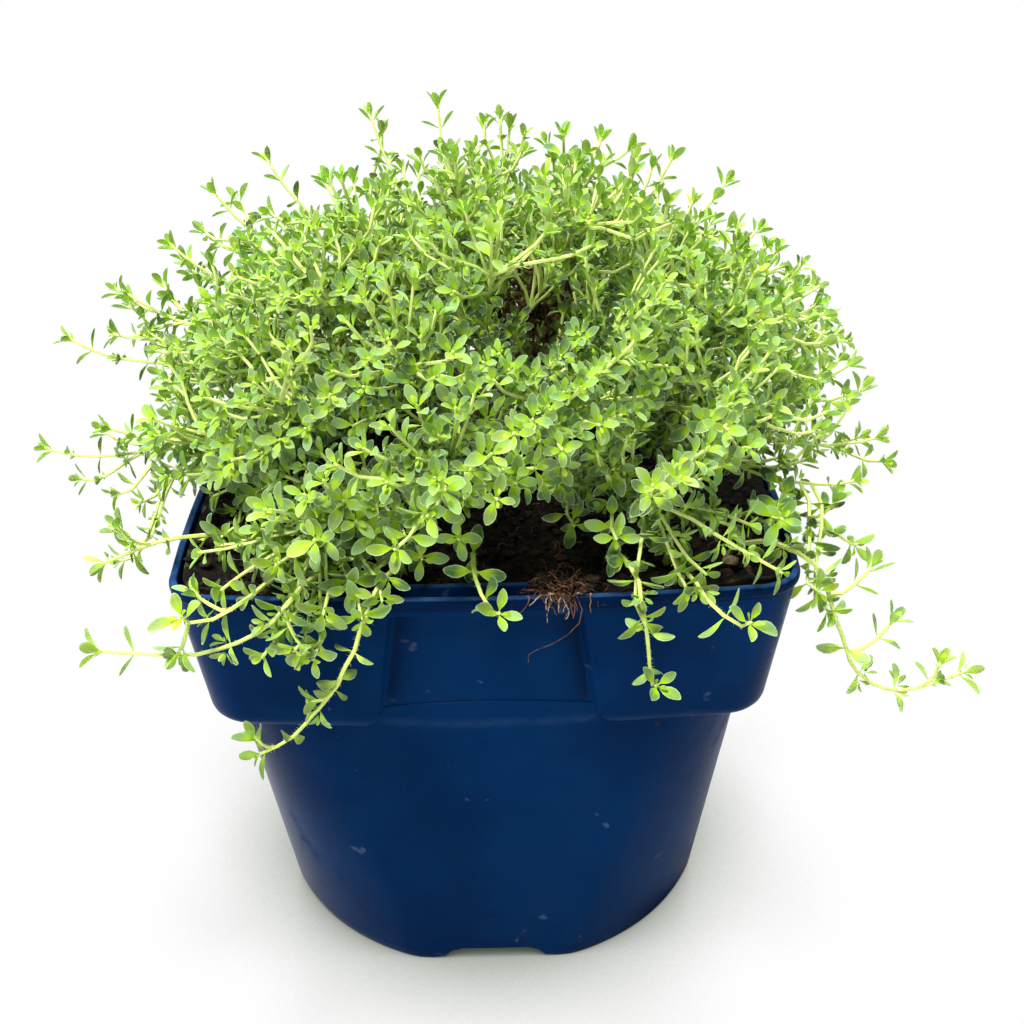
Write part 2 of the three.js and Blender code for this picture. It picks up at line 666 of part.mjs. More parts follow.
const plant = new THREE.Group();
const runnerLook = { color: 0x93bb3c, roughness: 0.6, metalness: 0 };
plant.add(
  meshOf('pot', pot(), { color: 0x0b2a52, roughness: 0.45, metalness: 0 }),
  meshOf('soil', soil(holes), { color: 0x2a1d14, roughness: 1, metalness: 0 }),
  meshOf('woody_crown', crown(), { color: 0x6b4a33, roughness: 0.9, metalness: 0 }),
  meshOf('thyme_bush', bush, { color: 0x86ab3c, roughness: 0.6, metalness: 0 }),
  ...runners.map(([name, runner]) => meshOf(name, runner, runnerLook)),
);

export default plant;
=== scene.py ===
"""A creeping thyme in a navy nursery pot. Metres, +Z up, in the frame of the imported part.
Sizes below are in millimetres until a mesh is made, and MM turns them into metres."""
import math
import random

import bpy
import numpy as np
from mathutils import Matrix, Vector, noise


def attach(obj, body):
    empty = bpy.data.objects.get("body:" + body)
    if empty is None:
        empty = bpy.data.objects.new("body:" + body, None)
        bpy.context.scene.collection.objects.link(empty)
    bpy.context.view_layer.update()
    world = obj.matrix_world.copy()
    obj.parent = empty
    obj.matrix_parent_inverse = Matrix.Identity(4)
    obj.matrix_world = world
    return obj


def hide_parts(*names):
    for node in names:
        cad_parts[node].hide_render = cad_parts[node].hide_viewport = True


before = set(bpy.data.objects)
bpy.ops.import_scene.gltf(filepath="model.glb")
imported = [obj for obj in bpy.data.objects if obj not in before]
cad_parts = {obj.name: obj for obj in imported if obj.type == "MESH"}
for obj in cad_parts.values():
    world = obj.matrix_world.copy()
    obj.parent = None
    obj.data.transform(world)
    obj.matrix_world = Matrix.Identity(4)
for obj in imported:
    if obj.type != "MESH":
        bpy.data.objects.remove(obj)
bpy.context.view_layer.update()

MM = 0.001
bpy.ops.object.select_all(action="DESELECT")

# ---- Camera ----
# A 45 mm lens stands a little above the plant, in front of the side with most of the runners.
camera_data = bpy.data.cameras.new("camera")
camera_data.sensor_width = 36
camera_data.lens = 45.32
camera_data.clip_start = 0.01
camera = bpy.data.objects.new("camera", camera_data)
bpy.context.collection.objects.link(camera)
across, upward, ahead = (0.9998, -0.0161, -0.0130), (0.0187, 0.4340, 0.9007), (0.0088, 0.9008, -0.4342)
stand = Vector((2.74, -233.43, 189.57)) * MM
camera.matrix_world = Matrix((
    (across[0], upward[0], -ahead[0], stand.x),
    (across[1], upward[1], -ahead[1], stand.y),
    (across[2], upward[2], -ahead[2], stand.z),
    (0, 0, 0, 1),
))
bpy.context.scene.camera = camera
bpy.context.scene.view_settings.view_transform = "Standard"

# ---- Light and floor ----
# A broad high lamp from the front left, a second one from behind that shines through the leaves, and a
# pale surround, over a plain white floor. To the camera the floor is a glow with painted shade under the pot,
# from how closely the pot and plant hem each spot in; the light meets a plain grey floor instead.
for name, energy, spread, colour, side in (
    ("window_light", 7.8, 28, (1.0, 0.985, 0.95), (-0.32, -0.3, 1.0)),
    ("back_light", 7.4, 40, (1.0, 0.99, 0.93), (0.12, 0.68, 1.0)),
):
    lamp_data = bpy.data.lights.new(name, "SUN")
    lamp_data.energy, lamp_data.angle, lamp_data.color = energy, math.radians(spread), colour
    lamp = bpy.data.objects.new(name, lamp_data)
    lamp.rotation_euler = Vector(side).to_track_quat("Z", "Y").to_euler()
    bpy.context.collection.objects.link(lamp)

def feed(finish, node, inputs):
    """Gives a node's inputs numbers, colours or other nodes' sockets."""
    for key, value in inputs.items():
        socket = node.inputs[key]
        if isinstance(value, bpy.types.NodeSocket):
            finish.node_tree.links.new(value, socket)
        else:
            socket.default_value = (*value, 1) if socket.type == "RGBA" else value


def add_node(finish, kind, inputs=(), **settings):
    """A new node of a finish or of the sky, with its settings and inputs."""
    node = finish.node_tree.nodes.new("ShaderNode" + kind)
    for setting, value in settings.items():
        setattr(node, setting, value)
    feed(finish, node, dict(inputs))
    return node


def show_camera(finish, seen, felt, output):
    """The camera sees one shader, and the light meets another."""
    ray = add_node(finish, "LightPath").outputs["Is Camera Ray"]
    either = add_node(finish, "MixShader", {0: ray, 1: felt.outputs[0], 2: seen.outputs[0]})
    feed(finish, finish.node_tree.nodes[output], {"Surface": either.outputs[0]})


def new_finish(name, roughness, specular):
    """A material and its Principled shader."""
    finish = bpy.data.materials.new(name)
    finish.use_nodes = True
    shader = finish.node_tree.nodes["Principled BSDF"]
    feed(finish, shader, {"Roughness": roughness, "Specular IOR Level": specular})
    return finish, shader


def ramp(finish, share, stops):
    """A colour from a row of them, each at its own share."""
    row = add_node(finish, "ValToRGB", {0: share})
    elements = row.color_ramp.elements
    elements.remove(elements[1])
    elements[0].position = stops[0][0]
    for position, _ in stops[1:]:
        elements.new(position)
    for element, (_, colour) in zip(elements, stops):
        element.color = (*colour, 1)
    return row.outputs[0]


sky = bpy.data.worlds.new("sky")
bpy.context.scene.world = sky
sky.use_nodes = True
white = sky.node_tree.nodes["Background"]
feed(sky, white, {"Color": (1, 1, 1), "Strength": 1.0})
surround = add_node(sky, "Background", {"Color": (0.93, 0.97, 1.0), "Strength": 0.28})
show_camera(sky, white, surround, "World Output")

bpy.ops.mesh.primitive_plane_add(size=6)
floor = bpy.context.active_object
floor.name = "floor"
floor_white, shader = new_finish("floor_white", 0.9, 0.1)
feed(floor_white, shader, {"Base Color": (0.5, 0.5, 0.49)})
# painted shade: the floor's camera glow is greyed where the pot and plant hem it in
near_pot = add_node(floor_white, "AmbientOcclusion", {"Distance": 0.06}, samples=8)
shade = ramp(floor_white, near_pot.outputs["AO"], (
    (0.2, (0.04, 0.052, 0.034)), (0.52, (0.52, 0.545, 0.5)), (0.74, (1, 1, 1)),
))
glow_with_painted_shade = add_node(floor_white, "Emission", {"Color": shade})
show_camera(floor_white, glow_with_painted_shade, shader, "Material Output")
floor.data.materials.append(floor_white)

# ---- Pot ----
# One thin moulding of navy plastic: a round foot, a body that squares off upwards, and a skirt with a window
# in each side. A bead runs round the lip, and a trough with a low ridge lies behind it over each window.
FOOT_RADIUS = 44.8
FOOT_FLAT = 42.4  # how far out the foot is in the middle of each side
FOOT_BLEND = 0.35
FOOT_RING = 39  # rings wider than this follow the flattened foot, and its notches lift them
NOTCH_HALF = 10
NOTCH_SLOPE = 2.4
NOTCH_HEIGHT = 2.7
SIDE_BOW = 2.2
RIM_CORNER = 8
LEDGE = 60
LEDGE_BLEND = 26  # nearer to a side's middle than this, the ledge fades out
SKIRT_HALF_AT_LEDGE = 48.6
BODY_HALF_AT_LEDGE = 47.6
BODY_CORNER = 20
UNDER_BEAD = 86.1
HALF_UNDER_BEAD = 52.0
WALL = 1.4
WINDOW_FOOT = 64
WINDOW_TOP = 84.3
WINDOW_HALF = 18.4
WINDOW_TAPER = 3
WINDOW_FLARE = 4
PANEL_FOOT = 64.4
PANEL_ARCH = 1.6
PANEL_DEPTH = 0.8
TROUGH_END = 87.3  # the least height of the trough's two ends
LIP_INSIDE = 49.8
DRAIN_HOLES = 8
DRAIN_RADIUS = 3.5
DRAIN_REACH = 25


def from_middle(angle):
    """An angle from the middle of the nearest side."""
    return np.abs((angle + math.pi / 4) % (math.pi / 2) - math.pi / 4)


def foot_radius(angle):
    """The foot is a circle, slightly flattened in the middle of each side."""
    flat = FOOT_FLAT / np.cos(from_middle(angle))
    return -FOOT_BLEND * np.logaddexp(-FOOT_RADIUS / FOOT_BLEND, -flat / FOOT_BLEND)


def body_outline(z, inset):
    """Sideways and outward places along one side of the body, from one corner's middle to the next."""
    k = np.linspace(-4, 4, 401)
    side = np.clip(k, -2, 2) / 2
    turn = np.sign(k) * np.clip(np.abs(k) - 2, 0, 2) * math.pi / 8
    straight, corner = BODY_HALF_AT_LEDGE - BODY_CORNER, BODY_CORNER - inset
    in_side = np.abs(k) <= 2
    square_x = straight * side + corner * np.sin(turn)
    square_y = np.where(
        in_side, BODY_HALF_AT_LEDGE - inset + SIDE_BOW * (1 - side**2), straight + corner * np.cos(turn)
    )
    slope = 2 * SIDE_BOW / straight
    end = math.atan(slope)
    in_corner = np.sign(k) * (end + (np.abs(k) - 2) / 4 * (math.pi / 2 - 2 * end))
    facing = np.where(in_side, np.arctan(slope * side), in_corner)
    foot = foot_radius(facing) - inset
    foot_x, foot_y = foot * np.sin(facing), foot * np.cos(facing)
    rise = z / LEDGE
    return foot_x + (square_x - foot_x) * rise, foot_y + (square_y - foot_y) * rise


def body_at(angle, z, inset=0.0):
    """Where the body is at an angle."""
    x, y = body_outline(z, inset)
    radius = np.interp(angle, np.arctan2(x, y), np.hypot(x, y))
    return radius * np.sin(angle), radius * np.cos(angle)


def body_over(x, z, inset=0.0):
    """How far out the body is at a place along its side."""
    outline_x, outline_y = body_outline(z, inset)
    return np.interp(x, outline_x, outline_y)


def window_side(z):
    """Half the window's width at a height, between its straight sides."""
    return WINDOW_HALF - WINDOW_TAPER * np.maximum(0, z - WINDOW_FOOT) / (WINDOW_TOP - WINDOW_FOOT)


def window_half(z):
    """Half the window's width at a height, flared where the skirt's lower corners are round."""
    under = min(1.0, max(0.0, (WINDOW_FOOT - z) / WINDOW_FLARE))
    return window_side(z) + WINDOW_FLARE * (1 - math.sqrt(1 - under**2))


WINDOW_COLUMNS = (0, 0.11, 0.22, 0.33, 0.44, 0.52, 0.65, 0.78, 0.88, 0.95)
EDGE_COLUMNS = ((-1.1, 0.0), (-0.5, 0.06), (-0.1, 0.3), (0.25, 0.72), (0.8, 0.95), (1.8, 1.0))
FLAP_COLUMNS = (0.1, 0.25, 0.42, 0.6, 0.8, 1.0)
CORNER_COLUMNS = (9, 18, 27, 36, 45)


def skirt_columns(z, inset, edge_half):
    """Half a side of the skirt at a height: the window's columns, its edge, the flap and the corner."""
    half = SKIRT_HALF_AT_LEDGE + (z - LEDGE) / (UNDER_BEAD - LEDGE) * (HALF_UNDER_BEAD - SKIRT_HALF_AT_LEDGE)
    straight = half - RIM_CORNER
    start = edge_half + EDGE_COLUMNS[-1][0]
    x = np.array(
        [share * edge_half for share in WINDOW_COLUMNS]
        + [edge_half + shift for shift, _ in EDGE_COLUMNS]
        + [start + share * (straight - start) for share in FLAP_COLUMNS]
    )
    y = half - inset + SIDE_BOW * (1 - (x / straight) ** 2)
    turn = np.radians(CORNER_COLUMNS)
    corner = RIM_CORNER - inset
    return (
        np.concatenate([x, straight + corner * np.sin(turn)]),
        np.concatenate([y, straight + corner * np.cos(turn)]),
    )


in_window = len(WINDOW_COLUMNS)
after_edge = in_window + len(EDGE_COLUMNS)
edge_blend = np.array([0.0] * in_window + [share for _, share in EDGE_COLUMNS])
column_count = after_edge + len(FLAP_COLUMNS) + len(CORNER_COLUMNS)
ledge_x, ledge_y = skirt_columns(LEDGE, 0, window_half(LEDGE))
under_ledge = body_over(ledge_x, LEDGE)
on_body = under_ledge + (ledge_y - under_ledge) * np.clip(ledge_x / LEDGE_BLEND, 0, 1)
column_angle = np.arctan2(ledge_x, np.where(ledge_x < LEDGE_BLEND, on_body, ledge_y))


def body_row(z, inset=0.0, heights=None):
    """A row round the body, at one height or at a height for each column."""
    x, y = body_at(column_angle, z, inset)
    return x, y, np.full(column_count, float(z)) if heights is None else heights


def notch_height(x):
    """How high the notch in a side of the foot reaches."""
    return NOTCH_HEIGHT * np.clip((NOTCH_HALF - np.abs(x)) / NOTCH_SLOPE, 0, 1) ** 0.7


def round_row(radius, z):
    """A ring of the round foot. The four notches lift it where they cut through."""
    notched = radius > FOOT_RING
    if notched:
        radius = radius - FOOT_RADIUS + foot_radius(column_angle)
    x, y = radius * np.sin(column_angle), radius * np.cos(column_angle)
    return x, y, np.maximum(z, notch_height(x) if notched else 0) + 0 * x


def window_row(flap_z, inset, window_z, depth, skin=0.0):
    """A row where the flaps stand over the body. skin runs from 0, on the body, to 1, on the skirt."""
    edge_half = window_half(flap_z)
    x, y = skirt_columns(flap_z, inset, edge_half)
    z = np.full(column_count, float(flap_z))
    body_x, body_y = body_at(np.arctan2(x, y), flap_z)
    inside = np.hypot(x, y) < np.hypot(body_x, body_y) + 0.02
    inside[:in_window] = False
    x, y = np.where(inside, body_x, x), np.where(inside, body_y, y)
    near = x[:after_edge]
    arch = PANEL_FOOT + PANEL_ARCH * (1 - np.clip(near / WINDOW_HALF, -1, 1) ** 2)
    low_z = window_z(arch) if callable(window_z) else np.full(after_edge, float(window_z))
    low_y = np.array([body_over(a, b, depth) for a, b in zip(near, low_z)])
    low_y = low_y + (y[:after_edge] - low_y) * skin
    y[:after_edge] = low_y + (y[:after_edge] - low_y) * edge_blend[:after_edge]
    z[:after_edge] = low_z + (z[:after_edge] - low_z) * edge_blend[:after_edge]
    return x, y, z


def rim_row(z, out):
    """A row of the bead round the lip."""
    x, y = skirt_columns(UNDER_BEAD, -out, window_half(WINDOW_TOP))
    return x, y, np.full(column_count, float(z))


def inner_row(z, inset, trough_z, trough_y):
    """A row inside the skirt. Over each window it follows the trough and the ridge instead."""
    x, y = skirt_columns(min(z, UNDER_BEAD), inset, window_half(min(z, WINDOW_TOP)))
    heights = np.full(column_count, float(z))
    y[:after_edge] = trough_y
    heights[:after_edge] = trough_z
    heights[in_window - 1 : after_edge] = max(trough_z, TROUGH_END) if z > 82 else trough_z
    return x, y, heights


rows = [(0 * column_angle, 0 * column_angle, 0 * column_angle)]
for radius, z in (
    (4, 0), (7.8, 0), (8.05, 0.2), (8.3, 2), (20, 2), (32, 2), (41.2, 2), (41.4, 0.3), (41.8, 0),
    (44.2, 0), (44.6, 0.2), (44.8, 0.7),
):
    rows.append(round_row(radius, z))
lowest = notch_height(rows[-1][0])
for z in (1.5, 2.6, 5, 9, 14, 20, 26, 32, 38, 44, 50, 54.5, 57.5, 59.3):
    rows.append(body_row(z, heights=np.maximum(z, lowest + 0.04 * z)))
for flap_z, inset, window_z in (
    (59.97, 3.4, 59.7), (60.0, 2.4, 60.1), (60.1, 1.8, 60.4), (60.3, 1.2, 60.7), (60.7, 0.7, 61.1),
    (61.4, 0.22, 61.7), (62.4, 0, 62.4), (63.4, 0, 63.3),
):
    rows.append(window_row(flap_z, inset, window_z, 0))
rows.append(window_row(64.0, 0, lambda arch: arch - 0.25, 0))
rows.append(window_row(64.9, 0, lambda arch: arch, 0.28))
rows.append(window_row(65.8, 0, lambda arch: arch + 0.3, 0.12))
for z in (67.5, 70, 73, 76, 79, 81.5, 83.3):
    rows.append(window_row(z, 0, max(z, 67.2), PANEL_DEPTH * min(1, (z - 62) / 17)))
for flap_z, window_z, skin in ((83.9, 84.05, 0), (84.2, 84.28, 0.15), (84.5, 84.35, 0.8), (84.9, 84.7, 0.98)):
    rows.append(window_row(flap_z, 0, window_z, PANEL_DEPTH, skin))
rows.append(window_row(85.4, 0, 85.4, 0, 1.0))
for z, out in (
    (86.0, 0), (86.12, 0.22), (86.35, 0.42), (86.8, 0.5), (87.3, 0.5), (87.7, 0.42), (87.93, 0.2),
    (88, -0.15), (88, -0.6), (87.9, -0.85), (87.65, -0.98), (87.2, -1.0),
):
    rows.append(rim_row(z, out))
for z, inset, trough_z, trough_y in (
    (86, 1.0, 85.75, 53.1), (85.2, 1.1, 85.4, 52.8), (84.4, 1.2, 85.4, 49.9), (83.6, 1.25, 85.6, 49.5),
    (82.8, 1.3, 87.2, 49.4), (82, 1.3, 87.6, 49.2), (81.2, 1.35, 87.7, 48.75), (80.4, 1.4, 87.55, 48.3),
    (79.6, 1.4, 87.1, 48.1), (77, 1.4, 80, 47.6), (62, 1.4, 62, 46.6),
):
    rows.append(inner_row(z, inset, trough_z, trough_y))
rows += [body_row(61.6, 2.8), body_row(59, WALL), body_row(4.5, WALL), body_row(3.6, 3)]
for radius in (32.5, 20):
    rows.append(round_row(radius, 3.5))
rows.append((0 * column_angle, 0 * column_angle, 3.5 + 0 * column_angle))

pot_points = []
for x, y, z in rows:
    side_x = np.concatenate([-x[:0:-1], x])[:-1]
    side_y = np.concatenate([y[:0:-1], y])[:-1]
    side_z = np.concatenate([z[:0:-1], z])[:-1]
    ring = []
    for turn in range(4):
        angle = turn * math.pi / 2
        ring.append(np.stack([
            side_x * math.cos(angle) + side_y * math.sin(angle),
            side_x * math.sin(angle) - side_y * math.cos(angle),
            side_z,
        ], axis=1))
    ring = np.concatenate(ring)
    pot_points.append(np.concatenate([ring, ring[:1]]))
pot_points = np.array(pot_points)


def deselect_all():
    bpy.ops.object.select_all(action="DESELECT")


def select_only(piece):
    deselect_all()
    piece.select_set(True)
    bpy.context.view_layer.objects.active = piece


def smoothed(piece, degrees):
    """Shades a piece smooth, except at edges sharper than an angle."""
    select_only(piece)
    bpy.ops.object.shade_smooth_by_angle(angle=math.radians(degrees))

def sheet_of_points(name, points):
    """A grid primitive whose rows and columns are moved to the given places, with its seam merged."""
    down, along = points.shape[:2]
    deselect_all()
    bpy.ops.mesh.primitive_grid_add(x_subdivisions=along - 1, y_subdivisions=down - 1, size=1)
    piece = bpy.context.active_object
    piece.name = piece.data.name = name
    piece.data.vertices.foreach_set("co", (points.reshape(-1, 3) * MM).ravel())
    bpy.ops.object.mode_set(mode="EDIT")
    bpy.ops.mesh.select_all(action="SELECT")
    bpy.ops.mesh.remove_doubles(threshold=2e-6)
    bpy.ops.mesh.dissolve_degenerate(threshold=1e-6)
    bpy.ops.mesh.normals_make_consistent(inside=False)
    bpy.ops.object.mode_set(mode="OBJECT")
    return piece


def keep_on_vertices(name, piece, value):
    """Keeps a number from 0 to 1 on each vertex, from its place in millimetres."""
    held = piece.data.attributes.new(name, "FLOAT", "POINT")
    places = np.empty(len(piece.data.vertices) * 3)
    piece.data.vertices.foreach_get("co", places)
    held.data.foreach_set("value", np.clip(value(places.reshape(-1, 3) / MM), 0, 1).astype(np.float32))


pot = sheet_of_points("nursery_pot", pot_points)
deselect_all()
bpy.ops.mesh.primitive_cylinder_add(
    vertices=24, radius=DRAIN_RADIUS * MM, depth=10 * MM, location=(DRAIN_REACH * MM, 0, 2 * MM)
)
drill = bpy.context.active_object
drills = []
for i in range(DRAIN_HOLES):
    angle = (i + 0.5) / DRAIN_HOLES * 2 * math.pi
    bit = bpy.data.objects.new("drill", drill.data.copy())
    bit.data.transform(Matrix.Rotation(angle, 4, "Z") @ drill.matrix_world)
    bpy.context.collection.objects.link(bit)
    drills.append(bit)
bpy.data.objects.remove(drill)
select_only(drills[0])
for bit in drills[1:]:
    bit.select_set(True)
bpy.ops.object.join()
drills = bpy.context.active_object
bore = pot.modifiers.new("drain_holes", "BOOLEAN")
bore.operation, bore.solver, bore.object = "DIFFERENCE", "EXACT", drills
select_only(pot)
bpy.ops.object.modifier_apply(modifier="drain_holes")
bpy.data.objects.remove(drills)
smoothed(pot, 38)


def on_side(places):
    """How far places lie along and out of their own side of the pot, and their heights."""
    along, out = np.sort(np.abs(places[:, :2]), axis=1).T
    return along, out, places[:, 2]


def rubbed_and_highlit_edges(places):
    """The lip, the flaps' lower edges and the ridges are paler: partly rubbed, partly a painted highlight."""
    _, out, z = on_side(places)
    lip = 0.7 * (z > 87.92) * (out > LIP_INSIDE)
    flap = 0.25 * np.exp(-(((z - 61.0) / 0.8) ** 2)) * (out > 49)
    ridge = 0.6 * (z > 87.4) * (out < 49.3)
    return lip + flap + ridge


def shaded_edge(places):
    """Painted shade on the lip's bead, lit hard from above, and on the window's panel beside its two edges.
    """
    along, out, z = on_side(places)
    to_edge = window_side(z) + EDGE_COLUMNS[0][0] - along
    beside = np.exp(-((np.clip(to_edge, 0, 99) / 2.2) ** 2)) * (to_edge > -0.5) * (z > 65) * (z < 84)
    return beside + 0.9 * (z > 85.9) * (z < 87.9) * (out > LIP_INSIDE)


keep_on_vertices("wear_and_highlight", pot, rubbed_and_highlit_edges)
keep_on_vertices("painted_shade", pot, shaded_edge)


def spread(finish, value, low, high, to_low=0.0, to_high=1.0, kind="SMOOTHSTEP"):
    """Moves a value from one span to another, and holds it there at both ends."""
    inputs = {"Value": value, "From Min": low, "From Max": high, "To Min": to_low, "To Max": to_high}
    return add_node(finish, "MapRange", inputs, interpolation_type=kind).outputs[0]


def pattern(finish, scale, detail=3.0, rough=0.6, stretch=None, low=0.4, high=0.6):
    """Noise of a size, in waves per metre, pulled to full contrast between two of its values."""
    place = add_node(finish, "TexCoord").outputs["Object"]
    if stretch:
        inputs = {"Vector": place, "Scale": stretch, "Rotation": (0.35, 0.5, 0.62)}
        place = add_node(finish, "Mapping", inputs).outputs[0]
    inputs = {"Vector": place, "Scale": scale, "Detail": detail, "Roughness": rough}
    return spread(finish, add_node(finish, "TexNoise", inputs).outputs["Fac"], low, high)


def number(finish, operation, *values):
    """The result of a sum on numbers and sockets."""
    return add_node(finish, "Math", dict(enumerate(values)), operation=operation).outputs[0]


def blend(finish, share, first, second, share_of=1.0):
    """A colour between two, each a colour or a socket. share is a socket."""
    if share_of != 1.0:
        share = number(finish, "MULTIPLY", share, share_of)
    return add_node(finish, "Mix", {"Factor": share, 6: first, 7: second}, data_type="RGBA").outputs[2]


def bumps(finish, height, strength, distance):
    """The slopes of a bumpy surface, for a shader's Normal."""
    inputs = {"Strength": strength, "Distance": distance, "Height": height}
    return add_node(finish, "Bump", inputs).outputs[0]


def kept(finish, name, output="Fac"):
    """What a mesh keeps on each vertex under a name."""
    return add_node(finish, "Attribute", attribute_name=name).outputs[output]


navy, shader = new_finish("navy_plastic", 0.45, 0.1)
dust = pattern(navy, 60, 6, 0.7, low=0.52, high=0.75)
scratches = pattern(navy, 240, 2, 0.5, (1, 0.05, 1), 0.7, 0.76)
specks = pattern(navy, 700, 3, 0.7, None, 0.8, 0.83)
grime = pattern(navy, 130, 5, 0.75, low=0.66, high=0.72)
uneven = number(navy, "MULTIPLY_ADD", pattern(navy, 180, 4, 0.7, None, 0.35, 0.65), 0.75, 0.25)
rubbed_and_highlit = number(navy, "MULTIPLY", kept(navy, "wear_and_highlight"), uneven)
colour = blend(navy, pattern(navy, 28), (0.0, 0.0115, 0.0525), (0.0002, 0.016, 0.067))
for marks, tint, strength in (
    (dust, (0.02, 0.035, 0.06), 0.07),
    (scratches, (0.12, 0.16, 0.24), 0.22),
    (specks, (0.32, 0.36, 0.42), 0.75),
    (grime, (0.03, 0.018, 0.012), 0.55),
    # painted shade: darkens the lip's bead and the panel beside the window's edges
    (kept(navy, "painted_shade"), (0.0, 0.004, 0.02), 0.7),
    # paler blue on the lip, flap edges and ridges: partly wear, partly painted highlight
    (rubbed_and_highlit, (0.035, 0.08, 0.17), 0.75),
):
    colour = blend(navy, marks, colour, tint, strength)
feed(navy, shader, {
    "IOR": 1.15,
    "Base Color": colour,
    "Roughness": spread(navy, dust, 0, 1, 0.34, 0.62, "LINEAR"),
    "Normal": bumps(navy, pattern(navy, 700, 3, 0.6, None, 0.2, 0.8), 0.12, 0.0002),
})
pot.data.materials.clear()
pot.data.materials.append(navy)
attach(pot, "root")
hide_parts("pot")

# ---- Soil ----
# Damp peat, crumbly, fibrous and black-brown. It fills the pot to just under its lip and is heaped up to it,
# except over the troughs at the front and back.
SOIL_EDGE = 84.4
SOIL_CROWN = 1.6
SOIL_FOOT = 3.8
HEAP_HEIGHT = 4.2
HEAP_SPREAD = 5.5
HEAP_WALL = 50.5
TROUGH_HALF = 21


def room_radius(angles, z, gap):
    """How far the pot's inside reaches at each angle and height, less a gap."""
    quarter = from_middle(angles)
    if z <= 61:
        x, y = body_at(np.linspace(0, math.pi / 4, 24), z, WALL + gap)
        return np.interp(quarter, np.arctan2(x, y), np.hypot(x, y))
    x, y = skirt_columns(min(z, UNDER_BEAD), WALL + gap, window_half(min(z, WINDOW_TOP)))
    to_lip = np.interp(quarter, np.arctan2(x, y), np.hypot(x, y))
    y[:after_edge] = 48.0 - 1.4 * (UNDER_BEAD - z) / 26 - gap
    to_ridge = np.interp(quarter, np.arctan2(x, y), np.hypot(x, y))
    return np.where((np.abs(np.sin(angles)) > 0.8) & (z > 84), to_lip, to_ridge)


def peat_height(x, y, rim_share):
    """The soil's height: a low crown, a soft swell, and a heap up to the lip at the left and right."""
    crown = SOIL_EDGE + SOIL_CROWN * (1 - rim_share**2)
    swell = 0.6 * math.sin(0.31 * x + 1.3) * math.cos(0.27 * y + 0.4) + 0.4 * math.sin(0.53 * y + 0.21 * x)
    from_wall = max(0.0, HEAP_WALL - max(abs(x), abs(y)))
    heap = HEAP_HEIGHT * math.exp(-((from_wall / HEAP_SPREAD) ** 2))
    heap /= 1 + math.exp((TROUGH_HALF - abs(x)) / 1.2)
    return crown + swell * (1 - 0.7 * rim_share) + heap


angles = np.linspace(0, 2 * math.pi, 321)
angles[-1] = 0
rim = room_radius(angles, SOIL_EDGE, 0.1)


def ring_at(radius, z):
    """A ring of the soil, from its front."""
    return np.stack([radius * np.sin(angles), -radius * np.cos(angles), 0 * angles + z], axis=1)


sheets = []
for share in np.sqrt(np.linspace(0, 1, 121)):
    ring = ring_at(rim * share, 0)
    for spot in ring:
        x, y = spot[:2]
        lump = 1.1 * noise.noise(Vector((x, y, 3)) * 0.22) + 0.9 * noise.noise(Vector((x, y, 9)) * 0.6)
        grain = 0.5 * abs(noise.noise(Vector((x, y, 5)) * 1.3)) + 0.3 * noise.noise(Vector((x, y, 7)) * 2.6)
        spot[2] = peat_height(x, y, share) + (lump + grain) * (1 - 0.6 * share**6) - 0.5
    sheets.append(ring)
for z in (80, 74, 68, 62.3):
    sheets.append(ring_at(room_radius(angles, z, 0.1), z))
for z in (59, 40, 20, SOIL_FOOT + 1):
    sheets.append(ring_at(room_radius(angles, z, 0.15), z))
for share in (0.97, 0.6, 0):
    sheets.append(ring_at(room_radius(angles, SOIL_FOOT + 1, 0.15) * share, SOIL_FOOT))
soil = sheet_of_points("peat", np.array(sheets)[:, ::-1])
smoothed(soil, 50)

peat, shader = new_finish("peat", 0.95, 0.15)
colour = blend(peat, pattern(peat, 170, 5, 0.7), (0.0015, 0.0011, 0.0008), (0.007, 0.0048, 0.0032))
crumbs = pattern(peat, 900, 3, 0.6, None, 0.52, 0.7)
strands = pattern(peat, 500, 2, 0.5, (1, 0.12, 1), 0.62, 0.68)
moss = pattern(peat, 95, 4, 0.6, None, 0.6, 0.68)
colour = blend(peat, crumbs, colour, (0.02, 0.013, 0.008))
colour = blend(peat, strands, colour, (0.1, 0.065, 0.035), 0.6)
colour = blend(peat, moss, colour, (0.03, 0.05, 0.012), 0.6)
rough = bumps(peat, pattern(peat, 800, 4, 0.7, None, 0.2, 0.8), 0.9, 0.0005)
feed(peat, shader, {"Base Color": colour, "Normal": rough})
soil.data.materials.append(peat)
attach(soil, "root")
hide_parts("soil")


def model_of(piece):
    """The points and triangles of a piece that others are copied from. The piece itself goes."""
    points = np.array([vertex.co[:] for vertex in piece.data.vertices])
    triangles = np.array([face.vertices[:] for face in piece.data.polygons])
    bpy.data.objects.remove(piece)
    return points, triangles

deselect_all()
bpy.ops.mesh.primitive_ico_sphere_add(subdivisions=1, radius=1)
crumb_points, crumb_triangles = model_of(bpy.context.active_object)


def peat_at(x, y):
    """The height of the soil's surface, without its small lumps."""
    angle = math.atan2(x, -y)
    share = min(1.0, math.hypot(x, y) / float(room_radius(np.array([angle]), SOIL_EDGE, 0.1)[0]))
    return peat_height(x, y, share)


def crumb(draw, x, y, z, size):
    """One lump: the model pushed out of shape, turned and flattened."""
    about = Matrix.Rotation(draw.uniform(0, 6.28), 3, "Z")
    turned = np.array(about @ Matrix.Rotation(draw.uniform(0, 3.1), 3, "X"))
    shape = crumb_points * np.array([[draw.uniform(0.65, 1.25)] for _ in crumb_points])
    return (shape @ turned.T) * (size, size * 0.8, size * 0.6) + (x, y, z), crumb_triangles


